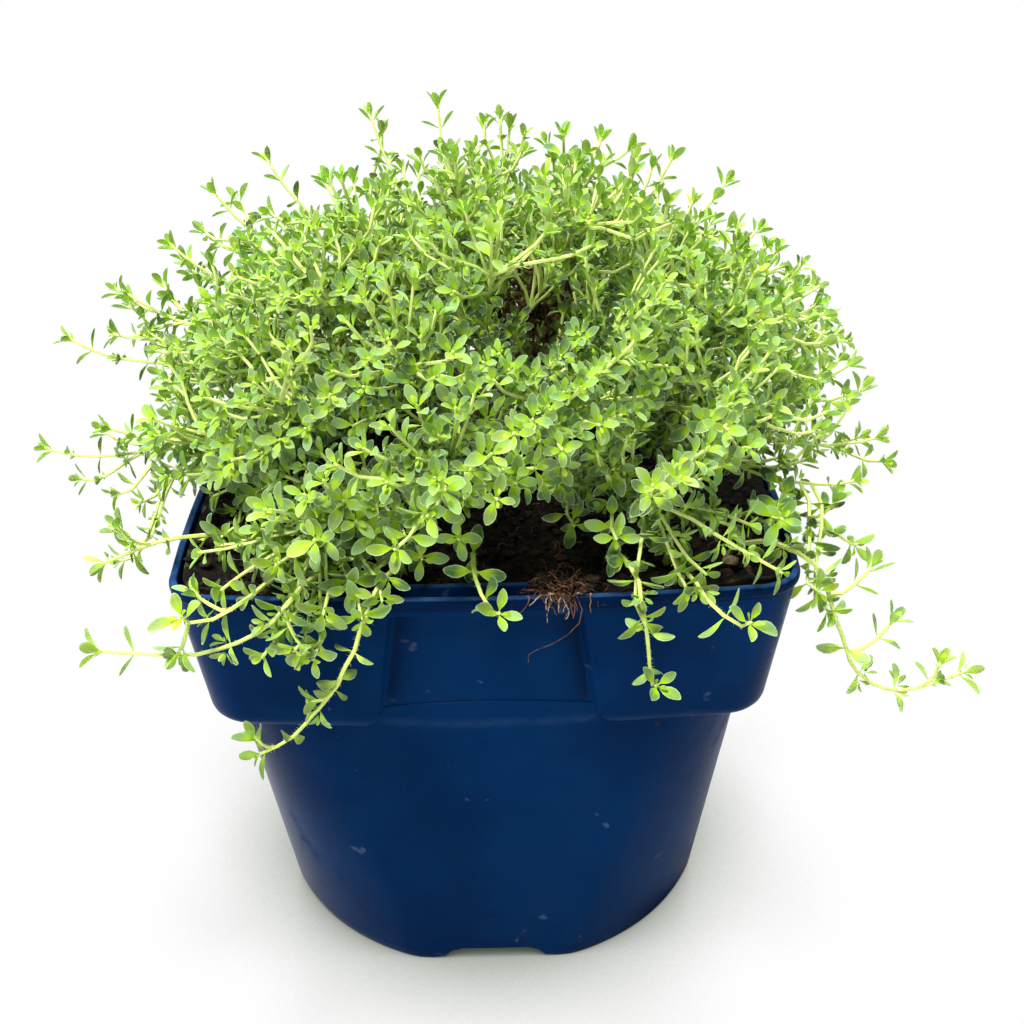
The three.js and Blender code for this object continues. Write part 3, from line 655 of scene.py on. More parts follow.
def mesh_of(name, points, triangles, material, notes):
    """One piece from triangles, in millimetres, with numbers kept on its vertices."""
    mesh = bpy.data.meshes.new(name)
    mesh.vertices.add(len(points))
    mesh.vertices.foreach_set("co", (np.asarray(points) * MM).ravel())
    mesh.loops.add(triangles.size)
    mesh.loops.foreach_set("vertex_index", triangles.ravel())
    mesh.polygons.add(len(triangles))
    mesh.polygons.foreach_set("loop_start", np.arange(0, triangles.size, 3))
    mesh.polygons.foreach_set("loop_total", np.full(len(triangles), 3))
    mesh.update(calc_edges=True)
    for note, values in notes.items():
        held = mesh.attributes.new(note, "FLOAT_VECTOR", "POINT")
        held.data.foreach_set("vector", np.asarray(values, dtype=np.float32).ravel())
    mesh.materials.append(material)
    piece = bpy.data.objects.new(name, mesh)
    bpy.context.collection.objects.link(piece)
    smoothed(piece, 60)
    return piece


def ways_along(path):
    """The way that a path goes at each of its points."""
    ways = np.gradient(path, axis=0)
    return ways / np.linalg.norm(ways, axis=1)[:, None]


def distances(path):
    """How far along a path each of its points lies."""
    return np.concatenate([[0], np.cumsum(np.linalg.norm(np.diff(path, axis=0), axis=1))])


def tube(path, radii, sides):
    """A round stem along a path, closed at both ends. Gives its points, its triangles and places on it."""
    path = np.asarray(path)
    ahead = ways_along(path)
    aside = np.cross(ahead, (0.31, 0.52, 0.79))
    aside /= np.linalg.norm(aside, axis=1)[:, None]
    other = np.cross(ahead, aside)
    turn = np.arange(sides) / sides * 2 * math.pi
    ring = aside[:, None] * np.cos(turn)[:, None] + other[:, None] * np.sin(turn)[:, None]
    points = (path[:, None] + ring * np.asarray(radii)[:, None, None]).reshape(-1, 3)
    points = np.concatenate([points, path[:1] - ahead[:1] * 0.1, path[-1:] + ahead[-1:] * radii[-1]])
    count = len(path)
    row, column = np.meshgrid(np.arange(count - 1), np.arange(sides), indexing="ij")
    a, b = row * sides + column, row * sides + (column + 1) % sides
    low = np.stack([a, b, b + sides], axis=-1).reshape(-1, 3)
    high = np.stack([a, b + sides, a + sides], axis=-1).reshape(-1, 3)
    column = np.arange(sides)
    after = (column + 1) % sides
    foot = np.stack([after, column, np.full(sides, count * sides)], axis=1)
    last = (count - 1) * sides
    head = np.stack([last + column, last + after, np.full(sides, count * sides + 1)], axis=1)
    far = distances(path)
    where = np.concatenate([np.repeat(far, sides), [0], far[-1:]])
    round_it = np.concatenate([np.tile(turn, count), [0, 0]])
    marks = np.stack([where, round_it, np.full(len(where), far[-1])], axis=1)
    return points, np.concatenate([low, high, foot, head]), marks


def joined(parts):
    """Several lots of points, triangles and marks as one."""
    starts = np.cumsum([0] + [len(part[0]) for part in parts[:-1]])
    return (
        np.concatenate([part[0] for part in parts]),
        np.concatenate([part[1] + start for part, start in zip(parts, starts)]),
        np.concatenate([part[2] for part in parts]),
    )


def strand(draw, start, way, length, droop, sides=3, thick=0.09):
    """A fine root or fibre that wanders off from a place."""
    spot, path = np.array(start, dtype=float), []
    way = np.array(way, dtype=float)
    for _ in range(9):
        path.append(spot.copy())
        way = way + [draw.gauss(0, 0.35), draw.gauss(0, 0.35), draw.gauss(0, 0.2) - droop]
        way /= np.linalg.norm(way)
        spot += way * length / 8
    return tube(path, np.linspace(thick, thick * 0.5, 9), sides)


GOLDEN_ANGLE = math.pi * (3 - math.sqrt(5))
CRUMBS = 1900
FIBRES = 520
CRUMB_REACH = 50.2
CRUMB_REACH_AT_RIDGE = 47.2
litter = random.Random(5)
lumps, fibres, roots = [], [], []
for i in range(CRUMBS):
    reach, around = 66 * math.sqrt((i + 0.5) / CRUMBS), i * GOLDEN_ANGLE
    x, y = reach * math.cos(around), reach * math.sin(around)
    furthest = CRUMB_REACH_AT_RIDGE if abs(x) < TROUGH_HALF + 1 else CRUMB_REACH
    if abs(y) < furthest and abs(x) < CRUMB_REACH:
        size = litter.choice((0.4, 0.6, 0.8, 1.0, 1.3))
        lumps.append(crumb(litter, x, y, peat_at(x, y) + 0.1, size))
for i in range(FIBRES):
    x, y = litter.uniform(-49, 49), litter.uniform(-46, 46)
    turn, lift = litter.uniform(0, 6.28), litter.uniform(-0.1, 0.5)
    kept_in = roots if i % 9 == 0 else fibres
    way = (math.cos(turn), math.sin(turn), lift)
    kept_in.append(strand(litter, (x, y, peat_at(x, y) - 0.1), way, litter.uniform(2, 7), 0.12))

# A tuft of crumbs and fine roots spills over the lip at the front, and one root of it hangs down the skirt.
for i in range(90):
    x, y = litter.uniform(7.5, 18.5), litter.uniform(-54, -47)
    z = 87.9 + 1.4 * math.exp(-((y + 50.5) ** 2) / 8) - litter.random()
    lumps.append(crumb(litter, x, y, z, litter.uniform(0.4, 0.9)))
for i in range(150):
    x, y = litter.gauss(12.2, 2.2), litter.uniform(-54.6, -48.5)
    way = (litter.gauss(0, 0.9), litter.gauss(-0.3, 0.5), litter.uniform(0.1, 0.9))
    fibres.append(strand(litter, (x, y, 88.2), way, litter.uniform(2, 5), 0.2, thick=0.15))
for i in range(9):
    x = litter.gauss(13, 2.4)
    way = (litter.gauss(0, 0.9), -0.7, litter.uniform(0, 0.7))
    roots.append(strand(litter, (x, -54.0, 88.4), way, litter.uniform(2.5, 5.5), 0.28, thick=0.14))
hanging = [
    (14.6, -54.6, 88.2), (15.4, -55.9, 86.6), (15, -55.7, 84), (13.2, -55.3, 81.6), (10.6, -54.9, 79.6),
    (8.4, -54.7, 78.6), (6.9, -54.6, 77.6), (6.8, -54.5, 76),
]
fibres.append(tube(hanging, np.linspace(0.12, 0.06, 8), 4))

# Small crumbs lie in the trough, and three pale pebbles near the wall.
for i in range(26):
    x = litter.uniform(-13, 11)
    lumps.append(crumb(litter, x, litter.uniform(-52.4, -50.2), 85.7, litter.choice((0.3, 0.45, 0.6))))
for spots, size in (((41.5, -41, 87), 1.9), ((-49.2, 8, 88.6), 1.0), ((-46, -20, 86.8), 0.8)):
    roots.append((*crumb(litter, *spots, size), None))


def litter_finish(name, first, second):
    """Rough and matt, in patches of two colours."""
    finish, shader = new_finish(name, 0.9, 0.15)
    feed(finish, shader, {
        "Base Color": blend(finish, pattern(finish, 300, 4, 0.7), first, second),
        "Normal": bumps(finish, pattern(finish, 1500, 3, 0.7, None, 0.2, 0.8), 0.6, 0.0003),
    })
    return finish


for name, parts, finish in (
    ("peat_crumbs", lumps, litter_finish("peat_crumb", (0.0016, 0.0012, 0.0009), (0.024, 0.015, 0.009))),
    ("peat_fibres", fibres, litter_finish("peat_fibre", (0.022, 0.01, 0.006), (0.13, 0.06, 0.032))),
    ("pale_roots", roots, litter_finish("pale_root", (0.12, 0.075, 0.045), (0.36, 0.27, 0.18))),
):
    points, triangles, _ = joined([(*part[:2], part[0]) for part in parts])
    piece = mesh_of(name, points, triangles, finish, {})
    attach(piece, "root")
    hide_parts("soil")

# ---- Woody crown ----
# The old brown stems at the plant's middle. A short stock parts into seven branches, which carry the bush.
BRANCHES = 7
BARK_LUMPS = np.array([1, 0.93, 1.04, 0.95, 1.05, 0.94, 1, 0.96, 1])
chance = random.Random(11)
stock = [(0, 0, 74.1), (0.3, 0.1, 78), (-0.2, 0.2, 81), (0.2, -0.1, 84), (0, 0, 87), (0, 0, 89.2)]
old_stems = [tube(stock, (4.6, 4.9, 5.3, 5.6, 5.2, 3.2), 18)]
for i in range(BRANCHES):
    around, lean = i * GOLDEN_ANGLE, 0.25 + 0.75 * i / BRANCHES
    spot = np.array([2.6 * math.cos(around), 2.6 * math.sin(around), 87.5])
    way = np.array([math.sin(lean) * math.cos(around), math.sin(lean) * math.sin(around), math.cos(lean)])
    path = []
    for _ in BARK_LUMPS:
        path.append(spot.copy())
        way += np.array([chance.uniform(-0.16, 0.16) for _ in range(3)])
        way /= np.linalg.norm(way)
        spot += way
    old_stems.append(tube(path, np.linspace(2, 1.1, len(BARK_LUMPS)) * BARK_LUMPS, 10))
bark, shader = new_finish("bark", 0.9, 0.15)
colour = blend(bark, pattern(bark, 400, 4, 0.7), (0.05, 0.028, 0.015), (0.17, 0.11, 0.065))
splits = pattern(bark, 900, 3, 0.6, (1, 1, 0.12), 0.5, 0.65)
colour = blend(bark, splits, colour, (0.03, 0.017, 0.01), 0.7)
feed(bark, shader, {"Base Color": colour, "Normal": bumps(bark, splits, 0.8, 0.0004)})
points, triangles, marks = joined(old_stems)
crown = mesh_of("old_crown", points, triangles, bark, {"stem_place": marks})
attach(crown, "root")
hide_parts("woody_crown")

# ---- Dry twigs ----
# A thin place near the top, where older stems have died back to brown twigs with a few curled flakes of
# leaf. They stand on the bush's own stems and show through the gap in front of them.
DEAD_TWIGS = 34
FLAKES = 90
twigs = []
for i in range(DEAD_TWIGS):
    foot = np.array([chance.gauss(8, 5.5), chance.uniform(3, 12), chance.uniform(108, 117)])
    head = foot + np.array([chance.gauss(0, 3), chance.gauss(-3, 3), chance.uniform(9, 15)])
    bow = np.array([chance.gauss(0, 1.5), chance.gauss(0, 1.5), 0])
    path = [foot, foot * 0.66 + head * 0.34 + bow, foot * 0.33 + head * 0.67 + bow, head]
    twigs.append(tube(path, (0.5, 0.42, 0.36, 0.24), 5))
for i in range(FLAKES):
    spot = np.array([chance.gauss(8, 5), chance.uniform(0, 10), chance.uniform(116, 128)])
    points, triangles = crumb(chance, *spot, chance.uniform(0.5, 1.3))
    twigs.append((points, triangles, 0 * points))
dry, shader = new_finish("dry_twig", 0.9, 0.15)
feed(dry, shader, {
    "Base Color": blend(dry, pattern(dry, 600, 4, 0.7), (0.035, 0.016, 0.01), (0.2, 0.11, 0.07)),
    "Normal": bumps(dry, pattern(dry, 1500, 3, 0.6, None, 0.2, 0.8), 0.6, 0.0002),
})
points, triangles, marks = joined(twigs)
dead_wood = mesh_of("dry_twigs", points, triangles, dry, {"stem_place": marks})
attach(dead_wood, "root")
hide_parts("thyme_bush")

# ---- Bush ----
# Hundreds of thin square-set shoots: each has crossed pairs of small leaves, closer and paler towards its
# tip. The main ones rise from the crown, and the rest branch off them to fill a low dome.
DOME_MIDDLE = np.array([2.0, 0.0, 84.0])
DOME_REACH = np.array([74.0, 68.0, 63.0])
CROWN_TOP = np.array([0.0, 0.0, 84.0])
LEAF_STATIONS = (0, 0.13, 0.3, 0.48, 0.67, 0.85, 0.96)
LEAF_HALVES = (0.1, 0.19, 0.64, 0.95, 0.99, 0.72, 0.38)
LEAF_THICK = 0.022
LEAF_END_THICK = 0.012

leaf_rows = []
for station, half in zip(LEAF_STATIONS, LEAF_HALVES):
    thick = LEAF_THICK if 0.1 < station < 0.95 else LEAF_END_THICK
    around_it = ((-half, 0), (0, thick), (half, 0), (0, -thick), (-half, 0))
    leaf_rows.append([(station, aside, up) for aside, up in around_it])
leaf_grid = np.array(leaf_rows)
leaf_grid = np.concatenate([leaf_grid[:1] * (1, 0, 0), leaf_grid, leaf_grid[-1:] * (0, 0, 0) + (1, 0, 0)])
leaf_model = sheet_of_points("leaf", leaf_grid / MM)
select_only(leaf_model)
bpy.ops.object.mode_set(mode="EDIT")
bpy.ops.mesh.select_all(action="SELECT")
bpy.ops.mesh.quads_convert_to_tris()
bpy.ops.object.mode_set(mode="OBJECT")
leaf_points, leaf_triangles = model_of(leaf_model)


def unit(vector):
    return vector / max(1e-9, np.linalg.norm(vector))


def bezier(first, second, third, fourth, count=24):
    t = np.linspace(0, 1, count)[:, None]
    return first * (1 - t) ** 3 + 3 * second * t * (1 - t) ** 2 + 3 * third * t**2 * (1 - t) + fourth * t**3


def part_way(at, far, values):
    """Places or ways at distances along a path, from those at its points."""
    return np.stack([np.interp(at, far, values[:, i]) for i in range(3)], axis=-1)


def hairs(draw, line, radii, per_mm):
    """Fine hairs that stand off a stem. Each is a slender closed spike with four faces."""
    far = distances(line)
    at = np.array([draw.uniform(0, far[-1]) for _ in range(int(far[-1] * per_mm))])
    spot, along = part_way(at, far, line), part_way(at, far, ways_along(line))
    out = np.array([[draw.gauss(0, 1) for _ in range(3)] for _ in at])
    out -= along * (out * along).sum(axis=1)[:, None]
    out /= np.linalg.norm(out, axis=1)[:, None]
    side = np.cross(along, out)
    root = spot + out * np.interp(at, far, radii)[:, None] * 0.75
    reach = np.array([[draw.uniform(0.35, 0.75)] for _ in at])
    points = [root + 0.03 * (side * math.cos(turn) + along * math.sin(turn)) for turn in (0, 2.09, 4.19)]
    points = np.stack([*points, root + (out + along * 0.3) * reach], axis=1).reshape(-1, 3)
    faces = np.array(((0, 1, 3), (1, 2, 3), (2, 0, 3), (0, 2, 1)))
    triangles = (faces[None] + np.arange(len(at))[:, None, None] * 4).reshape(-1, 3)
    where = np.repeat(at, 4)
    return points, triangles, np.stack([where, 0 * where, 0 * where + far[-1]], axis=1)


TIP_SIZES = (0.42, 0.82)  # the first pairs from a tip, as shares of a full leaf
TIP_AGES = (0.05, 0.34, 0.42)
TIP_GAPS = (0.3, 0.8)


class Shoots:
    """Shoots gathered before they are made: their stems' tubes and one row of numbers for each leaf."""

    def __init__(self, seed):
        self.draw = random.Random(seed)
        self.stems = []
        self.leaves = []

    def leaf(self, root, way, facing, length, age, tint):
        """One leaf, with its own width, fold and curl."""
        d = self.draw
        width = length * d.uniform(0.205, 0.25)
        curl, fold = d.uniform(-0.12, 0.18), d.uniform(0.3, 0.75)
        self.leaves.append((*root, *way, *facing, length, width, fold, curl, age, tint, d.random()))

    def pair(self, root, ahead, aside, rise, length, age, tint):
        """Two leaves on opposite sides of a stem."""
        d = self.draw
        for sign in (1, -1):
            out = aside * sign + ahead * d.uniform(-0.15, 0.15)
            out = unit(out + np.array([d.gauss(0, 0.12) for _ in range(3)]))
            lean = rise + d.gauss(0, 0.12)
            way = unit(out * math.cos(lean) + ahead * math.sin(lean))
            facing = unit(ahead * math.cos(lean) - out * math.sin(lean) + np.array([0, 0, 0.25]))
            facing = unit(facing - way * facing.dot(way))
            size = length * d.uniform(0.85, 1.1)
            self.leaf(root + out * 0.25, way, facing, size, min(1, max(0, age + d.gauss(0, 0.08))), tint)

    def shoot(self, path, thick, leafy, gap=3.8, tuft=0.45, size=5.0, age=0.0, hairy=0.0, closed=0.7):
        """A stem along a path, with crossed pairs back from its tip over a leafy length."""
        d = self.draw
        far = distances(path)
        total = far[-1]
        count = max(5, int(total / 3.2))
        marks = np.linspace(0, total, count)
        line = part_way(marks, far, path)
        line[1:-1] += np.array([[d.gauss(0, 0.09) for _ in range(3)] for _ in range(count - 2)])
        radii = np.linspace(thick, 0.27, count)
        self.stems.append(tube(line, radii, 5))
        if hairy:
            self.stems.append(hairs(d, line, radii, hairy))
        aside = unit(np.array([d.gauss(0, 1) for _ in range(3)]))
        tint = d.random()
        back, node = 0.15, 0
        while back < min(leafy, total - 1.5):
            at = total - back
            spot = part_way(at, marks, line)
            behind = part_way(max(0, at - 1.5), marks, line)
            ahead = unit(part_way(min(total, at + 1.5), marks, line) - behind)
            side = unit(aside - ahead * aside.dot(ahead))
            if node % 2:
                side = np.cross(ahead, side)
            length = size * (TIP_SIZES[node] if node < len(TIP_SIZES) else d.uniform(0.9, 1.1))
            rise = 0.12 + 0.42 * max(0.0, ahead[2]) + closed * math.exp(-back / 2)
            # Leaves deep in the dome are aged further, so darker: partly older leaves, partly painted shade.
            depth = 1 - np.linalg.norm((spot - DOME_MIDDLE) / DOME_REACH)
            age_and_shade = TIP_AGES[node] if node < len(TIP_AGES) else 1 - math.exp(-back / 7)
            age_and_shade += age + 1.6 * max(0.0, depth - 0.12)
            self.pair(spot, ahead, side, rise, length, age_and_shade, tint)
            if node > 3 and d.random() < tuft:
                for sign in (1, -1):
                    out = unit(side * sign + ahead * 0.9)
                    bud = spot + out * d.uniform(0.6, 1.6)
                    self.pair(bud, out, np.cross(out, ahead), 0.9, size * 0.42, age_and_shade * 0.4, tint)
                    crossed = unit(np.cross(out, np.cross(out, ahead)))
                    self.pair(bud, out, crossed, 0.6, size * 0.55, age_and_shade * 0.5, tint)
            back += (*TIP_GAPS, gap * 0.7)[node] if node < 3 else gap * d.uniform(0.85, 1.15)
            node += 1


def leaf_mesh(leaves):
    """Leaves as one lot of points, triangles and places on the leaf, with their tones."""
    rows = np.array(leaves)
    root, way, facing = rows[:, None, 0:3], rows[:, None, 3:6], rows[:, None, 6:9]
    length, width, fold, curl = (rows[:, 9 + i, None] for i in range(4))
    side = np.cross(facing, way)
    u, v, w = leaf_points[None, :, 0], leaf_points[None, :, 1], leaf_points[None, :, 2]
    along = u * length
    lift = w * length + np.abs(v) * fold * width - curl * length * u**2
    spots = root + way * along[..., None] + side * (v * width)[..., None] + facing * lift[..., None]
    count, size = len(rows), len(leaf_points)
    triangles = leaf_triangles[None] + np.arange(count)[:, None, None] * size
    ones = np.ones((count, 1))
    place = np.stack([u * ones, np.sign(v) * (np.abs(v) > 0.01) * ones, w * ones / LEAF_THICK], axis=-1)
    tone = np.repeat(rows[:, None, 13:16], size, axis=1)
    return spots.reshape(-1, 3), triangles.reshape(-1, 3), place.reshape(-1, 3), tone.reshape(-1, 3)


def leaf_finish(name, young, age_and_shade, old):
    """Leaf green by age, darker with painted shade deep in the dome. It has a paler margin, partly a
    painted rim sheen, a paler midrib, a matt bloom and light through the blade.
    """
    finish, shader = new_finish(name, 0.6, 0.18)
    along, across, thick = add_node(finish, "SeparateXYZ", {0: kept(finish, "leaf_place", "Vector")}).outputs
    age, tint, value = add_node(finish, "SeparateXYZ", {0: kept(finish, "tone", "Vector")}).outputs
    shade = add_node(finish, "HueSaturation", {
        "Color": ramp(finish, age, ((0, young), (0.5, age_and_shade), (1, old))),
        "Hue": spread(finish, tint, 0, 1, 0.48, 0.515),
        "Value": spread(finish, value, 0, 1, 0.7, 1.25),
    })
    bloom = pattern(finish, 1500, 3, 0.6)
    near_stalk = spread(finish, along, 0.7, 0.26)
    aside = number(finish, "ABSOLUTE", across)
    # pale margin: partly the leaf's own pale edge, partly a painted rim sheen
    margin_and_rim_sheen = number(finish, "MAXIMUM", spread(finish, aside, 0.78, 1.0), spread(finish, along, 0.92, 1.0))
    rib = number(finish, "MULTIPLY", spread(finish, aside, 0.16, 0.0), spread(finish, along, 1.0, 0.5))
    under = spread(finish, thick, 0.0, -0.5)
    colour = shade.outputs[0]
    for share, tone, strength in (
        (bloom, (0.36, 0.46, 0.16), 0.1),
        (near_stalk, (0.38, 0.61, 0.001), 0.95),
        (margin_and_rim_sheen, (0.56, 0.68, 0.42), 0.72),
        (rib, (0.4, 0.6, 0.1), 0.3),
        (under, (0.36, 0.52, 0.14), 0.45),
    ):
        colour = blend(finish, share, colour, tone, strength)
    fine = bumps(finish, pattern(finish, 1600, 2, 0.5, None, 0.2, 0.8), 0.05, 0.0001)
    feed(finish, shader, {"Base Color": colour, "Sheen Weight": 0.04, "Normal": fine})
    through_blade = blend(finish, under, colour, (0.78, 0.93, 0.12), 0.75)
    glow = add_node(finish, "BsdfTranslucent", {"Color": through_blade})
    glowing = spread(finish, age, 0.55, 1.0, 0.42, 0.1)
    both = add_node(finish, "MixShader", {0: glowing, 1: shader.outputs[0], 2: glow.outputs[0]})
    feed(finish, finish.node_tree.nodes["Material Output"], {"Surface": both.outputs[0]})
    return finish


def stem_finish(name, fresh, aged):
    """Pale green stems that turn brown and woody towards the root."""
    finish, shader = new_finish(name, 0.6, 0.3)
    done, _, whole = add_node(finish, "SeparateXYZ", {0: kept(finish, "stem_place", "Vector")}).outputs
    from_tip = spread(finish, number(finish, "SUBTRACT", whole, done), 26, 48, kind="LINEAR")
    colour = blend(finish, from_tip, fresh, aged)
    colour = blend(finish, pattern(finish, 700, 3, 0.6), colour, (0.3, 0.34, 0.12), 0.3)
    feed(finish, shader, {"Base Color": colour})
    return finish


def raise_stems(name, stems, finish, node):
    """Makes stems one piece, which stands for a node of the part."""
    points, triangles, marks = joined(stems)
    piece = mesh_of(name, points, triangles, finish, {"stem_place": marks})
    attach(piece, "root")
    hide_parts(node)


def raise_leaves(name, leaves, finish, node):
    """Makes leaves one piece, which stands for a node of the part."""
    points, triangles, places, tones = leaf_mesh(leaves)
    piece = mesh_of(name, points, triangles, finish, {"leaf_place": places, "tone": tones})
    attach(piece, "root")
    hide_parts(node)


LONG_TIPS = (
    (-83, -8, 96), (-79, 3, 114), (-67, 5, 122), (-59, 10, 130), (-51, 15, 139), (-41, 20, 144),
    (-30, 20, 139), (-21, 25, 151), (-8, 25, 153), (6, 28, 148), (21, 25, 143), (38, 25, 142),
    (48, 20, 138), (54, 15, 130), (61, 5, 121), (74, -12, 97), (70, 30, 101), (-70, 34, 102),
    (30, 62, 112), (-28, 64, 110), (4, 73, 98), (-52, 50, 96), (55, 48, 95),
)
LOW_TIPS = (
    (-45, -37, 91), (-40, -37, 92), (-38, -36, 95), (-35, -49, 93), (-31, -45, 94), (-23, -52, 93),
    (-41, -57, 92), (-32, -60, 89), (-25, -60, 89), (-21, -58, 92), (-19, -61, 88), (-35, -61, 82),
    (-30, -61, 83), (-27, -62, 82), (-16, -58, 90), (-10, -50, 93), (-4, -51, 97), (-25, -46, 98),
    (-21, -44, 102), (-9, -50, 104), (15, -41, 94), (35, -46, 98), (35, -55, 92), (32, -57, 90),
    (40, -48, 97), (43, -48, 97), (48, -48, 98), (47, -55, 92), (55, -49, 85), (57, -49, 81),
    (21, -52, 97), (25, -60, 86), (12, -45, 104), (21, -45, 106), (31, -44, 106),
)
SHOULDER_TIPS = (
    (-54, 16, 131), (-52, 18, 128), (-58, 14, 126), (-62, 12, 122), (-68, 8, 119), (-70, 8, 122),
    (22, 20, 140), (-77, -9, 90), (-70, -12, 88), (-65, -14, 87), (-66, -20, 81), (-68, -22, 79),
    (-48, 22, 136), (1, 25, 149), (4, 26, 150), (-19, 26, 148), (24, 26, 146), (30, 25, 144),
    (34, 24, 141), (27, 18, 138), (18, 15, 143), (67, 4, 115), (72, -4, 104), (76, -10, 91),
    (-71, -8, 100), (-73, -4, 98), (68, -8, 110), (67, -12, 105), (29, 12, 142), (-12, 20, 141),
    (-70, 2, 115), (-60, 8, 120), (51, -30, 101), (56, -29, 100), (60, -25, 104),
)
HEM = (  # the dome's lower edge: degrees round it from the right, and the sine of its rise
    (-180, 0.22), (-150, 0.2), (-130, 0.1), (-108, 0.18), (-95, 0.36), (-78, 0.42), (-66, 0.36),
    (-45, 0.36), (-20, 0.42), (0, 0.4), (25, 0.16), (150, 0.08), (165, 0.14), (180, 0.22),
)
DIPS = np.array(((-0.42, 0.29, 0.82), (0.53, 0.29, 0.77)))


def dome_way(slope_sine, around):
    """The way from the dome's middle at a rise and an angle round it."""
    level = math.sqrt(max(0, 1 - slope_sine**2))
    return np.array([level * math.cos(around), level * math.sin(around), slope_sine])


CLEARING = np.array(((7.0, -58.0, 138.4), (9.0, 4.0, 122.5)))
CLEAR_OF_MAIN = 7
CLEAR_OF_SIDE = 4.5
CLEAR_IN_FRONT = 5
CLEAR_OF_LEAVES = 4.2
MAIN_SHOOTS = 42
BARE_FRONT = 2


def beside_clearing(spot):
    """How far a spot is from the middle line of the gap in front of the dry twigs."""
    line = CLEARING[1] - CLEARING[0]
    along = np.clip((spot - CLEARING[0]).dot(line) / line.dot(line), 0, 1)
    return np.linalg.norm(spot - CLEARING[0] - line * along)


bush = Shoots(20)
state = 20
main_tips = []
for i in range(MAIN_SHOOTS):
    state = (1664525 * state + 1013904223) % 2**32
    reach = (0.74 if i % 3 == 1 else 0.96) + 0.08 * state / 2**32
    way = dome_way(0.12 + 0.88 * (i + 0.5) / MAIN_SHOOTS, i * GOLDEN_ANGLE)
    main_tips.append(DOME_MIDDLE + way * DOME_REACH * reach)
del main_tips[BARE_FRONT]
main_tips = [tip for tip in main_tips if beside_clearing(tip) > CLEAR_OF_MAIN]
main_tips += [np.array(tip, dtype=float) for tip in LONG_TIPS]
lines = []
for tip in main_tips:
    span = tip - CROWN_TOP
    length = np.linalg.norm(span)
    tip_way = unit(span / length + np.array([0, 0, 0.35]) + 0.1 * unit(np.array([span[0], span[1], 0])))
    first = CROWN_TOP + 0.15 * span + np.array([0, 0, 0.5 * length])
    path = bezier(CROWN_TOP, first, tip - 0.35 * length * tip_way, tip, 40)
    bush.shoot(path, 0.45, length * 0.62, gap=5.2, size=3.6)
    lines.append(path)
line_points = np.concatenate(lines)
line_ways = np.concatenate([ways_along(path) for path in lines])
line_far = np.linalg.norm(line_points - CROWN_TOP, axis=1)


def branch_to(tip, leafy, size=5.0, lift=0.35, age=0.0, gap=3.8, hairy=0.0, closed=0.7):
    """A side shoot to a tip, from the nearest place on a main one that lies well inside of it."""
    away = np.linalg.norm(line_points - tip, axis=1)
    inside = np.linalg.norm(tip - CROWN_TOP) - line_far
    too_near, too_low = (away <= 13) | (inside <= 9), line_points[:, 2] < 86
    at = int(np.argmin(away + np.where(too_near, 400, 0) + np.where(too_low, 60, 0)))
    root, start = line_points[at], line_ways[at]
    span = tip - root
    length = np.linalg.norm(span)
    wobble = np.array([bush.draw.gauss(0, 0.2) for _ in range(3)])
    tip_way = unit(unit(tip - DOME_MIDDLE) + np.array([0, 0, lift]) + wobble)
    middle = root + 0.33 * length * unit(start + unit(span))
    path = bezier(root, middle, tip - 0.3 * length * tip_way, tip, 20)
    leafy = max(leafy, 0.62 * length)
    bush.shoot(path, 0.36, leafy, gap=gap, size=size, age=age, hairy=hairy, closed=closed)


SIDE_SHOOTS = 1440
LAYERS = (0.93, 0.8, 0.66, 0.97, 0.87)
hem_at, hem_sine = np.array(HEM).T
reaches = random.Random(3)
for i in range(SIDE_SHOOTS):
    around = (i * GOLDEN_ANGLE + 0.7) % (2 * math.pi)
    lowest = np.interp((math.degrees(around) + 180) % 360 - 180, hem_at, hem_sine)
    rise = lowest + (1 - lowest) * (i + 0.5) / SIDE_SHOOTS
    layer = LAYERS[i % 5]
    reach = layer + reaches.uniform(-0.06, 0.06)
    reach *= 1 - 0.16 * max(0, -math.cos(around)) ** 3 * (1 - rise) ** 3
    way = dome_way(rise, around)
    reach *= 1 - 0.17 * np.exp(-(np.linalg.norm(DIPS - way, axis=1) ** 2) / 0.03).sum()
    tip = DOME_MIDDLE + way * (DOME_REACH + (0, 0, 2)) * reach
    if beside_clearing(tip) < CLEAR_OF_SIDE + CLEAR_IN_FRONT * (tip[1] < -20):
        continue
    front = max(0, -tip[1] / 60)
    bush.draw = random.Random(1000 + i)
    low = min(1.0, max(0.0, (128 - tip[2]) / 26))
    size = bush.draw.uniform(2.9, 3.6) + 1.2 * front * low
    branch_to(tip, 16, size, 0.35, 0.4 * (1 - layer), 4.4, closed=0.7 - 0.35 * front)
for tip in LOW_TIPS:
    branch_to(np.array(tip, dtype=float), 22, 4.4, 0.1, hairy=2, closed=0.3)
for tip in SHOULDER_TIPS:
    branch_to(np.array(tip, dtype=float), 30, 3.6, 0.5, gap=5)

# The near-black old green mostly colours leaves deep in the dome, as partly painted shade.
leaf_green = leaf_finish("leaf_green", (0.45, 0.66, 0.02), (0.23, 0.39, 0.14), (0.02, 0.065, 0.014))
stem_green = stem_finish("stem_green", (0.52, 0.63, 0.18), (0.16, 0.11, 0.05))
STEM_PIECES = 2
LEAF_PIECES = 8
for i in range(STEM_PIECES):
    name = "bush_stems_%d" % (i + 1)
    raise_stems(name, bush.stems[i::STEM_PIECES], stem_green, "thyme_bush")
leaves = [row for row in bush.leaves if beside_clearing(np.array(row[:3])) > CLEAR_OF_LEAVES]
leaves.sort(key=lambda row: math.atan2(row[1], row[0]))
per_piece = -(-len(leaves) // LEAF_PIECES)
for i in range(LEAF_PIECES):
    name, chosen = "bush_leaves_%d" % (i + 1), leaves[i * per_piece : (i + 1) * per_piece]
    raise_leaves(name, chosen, leaf_green, "thyme_bush")

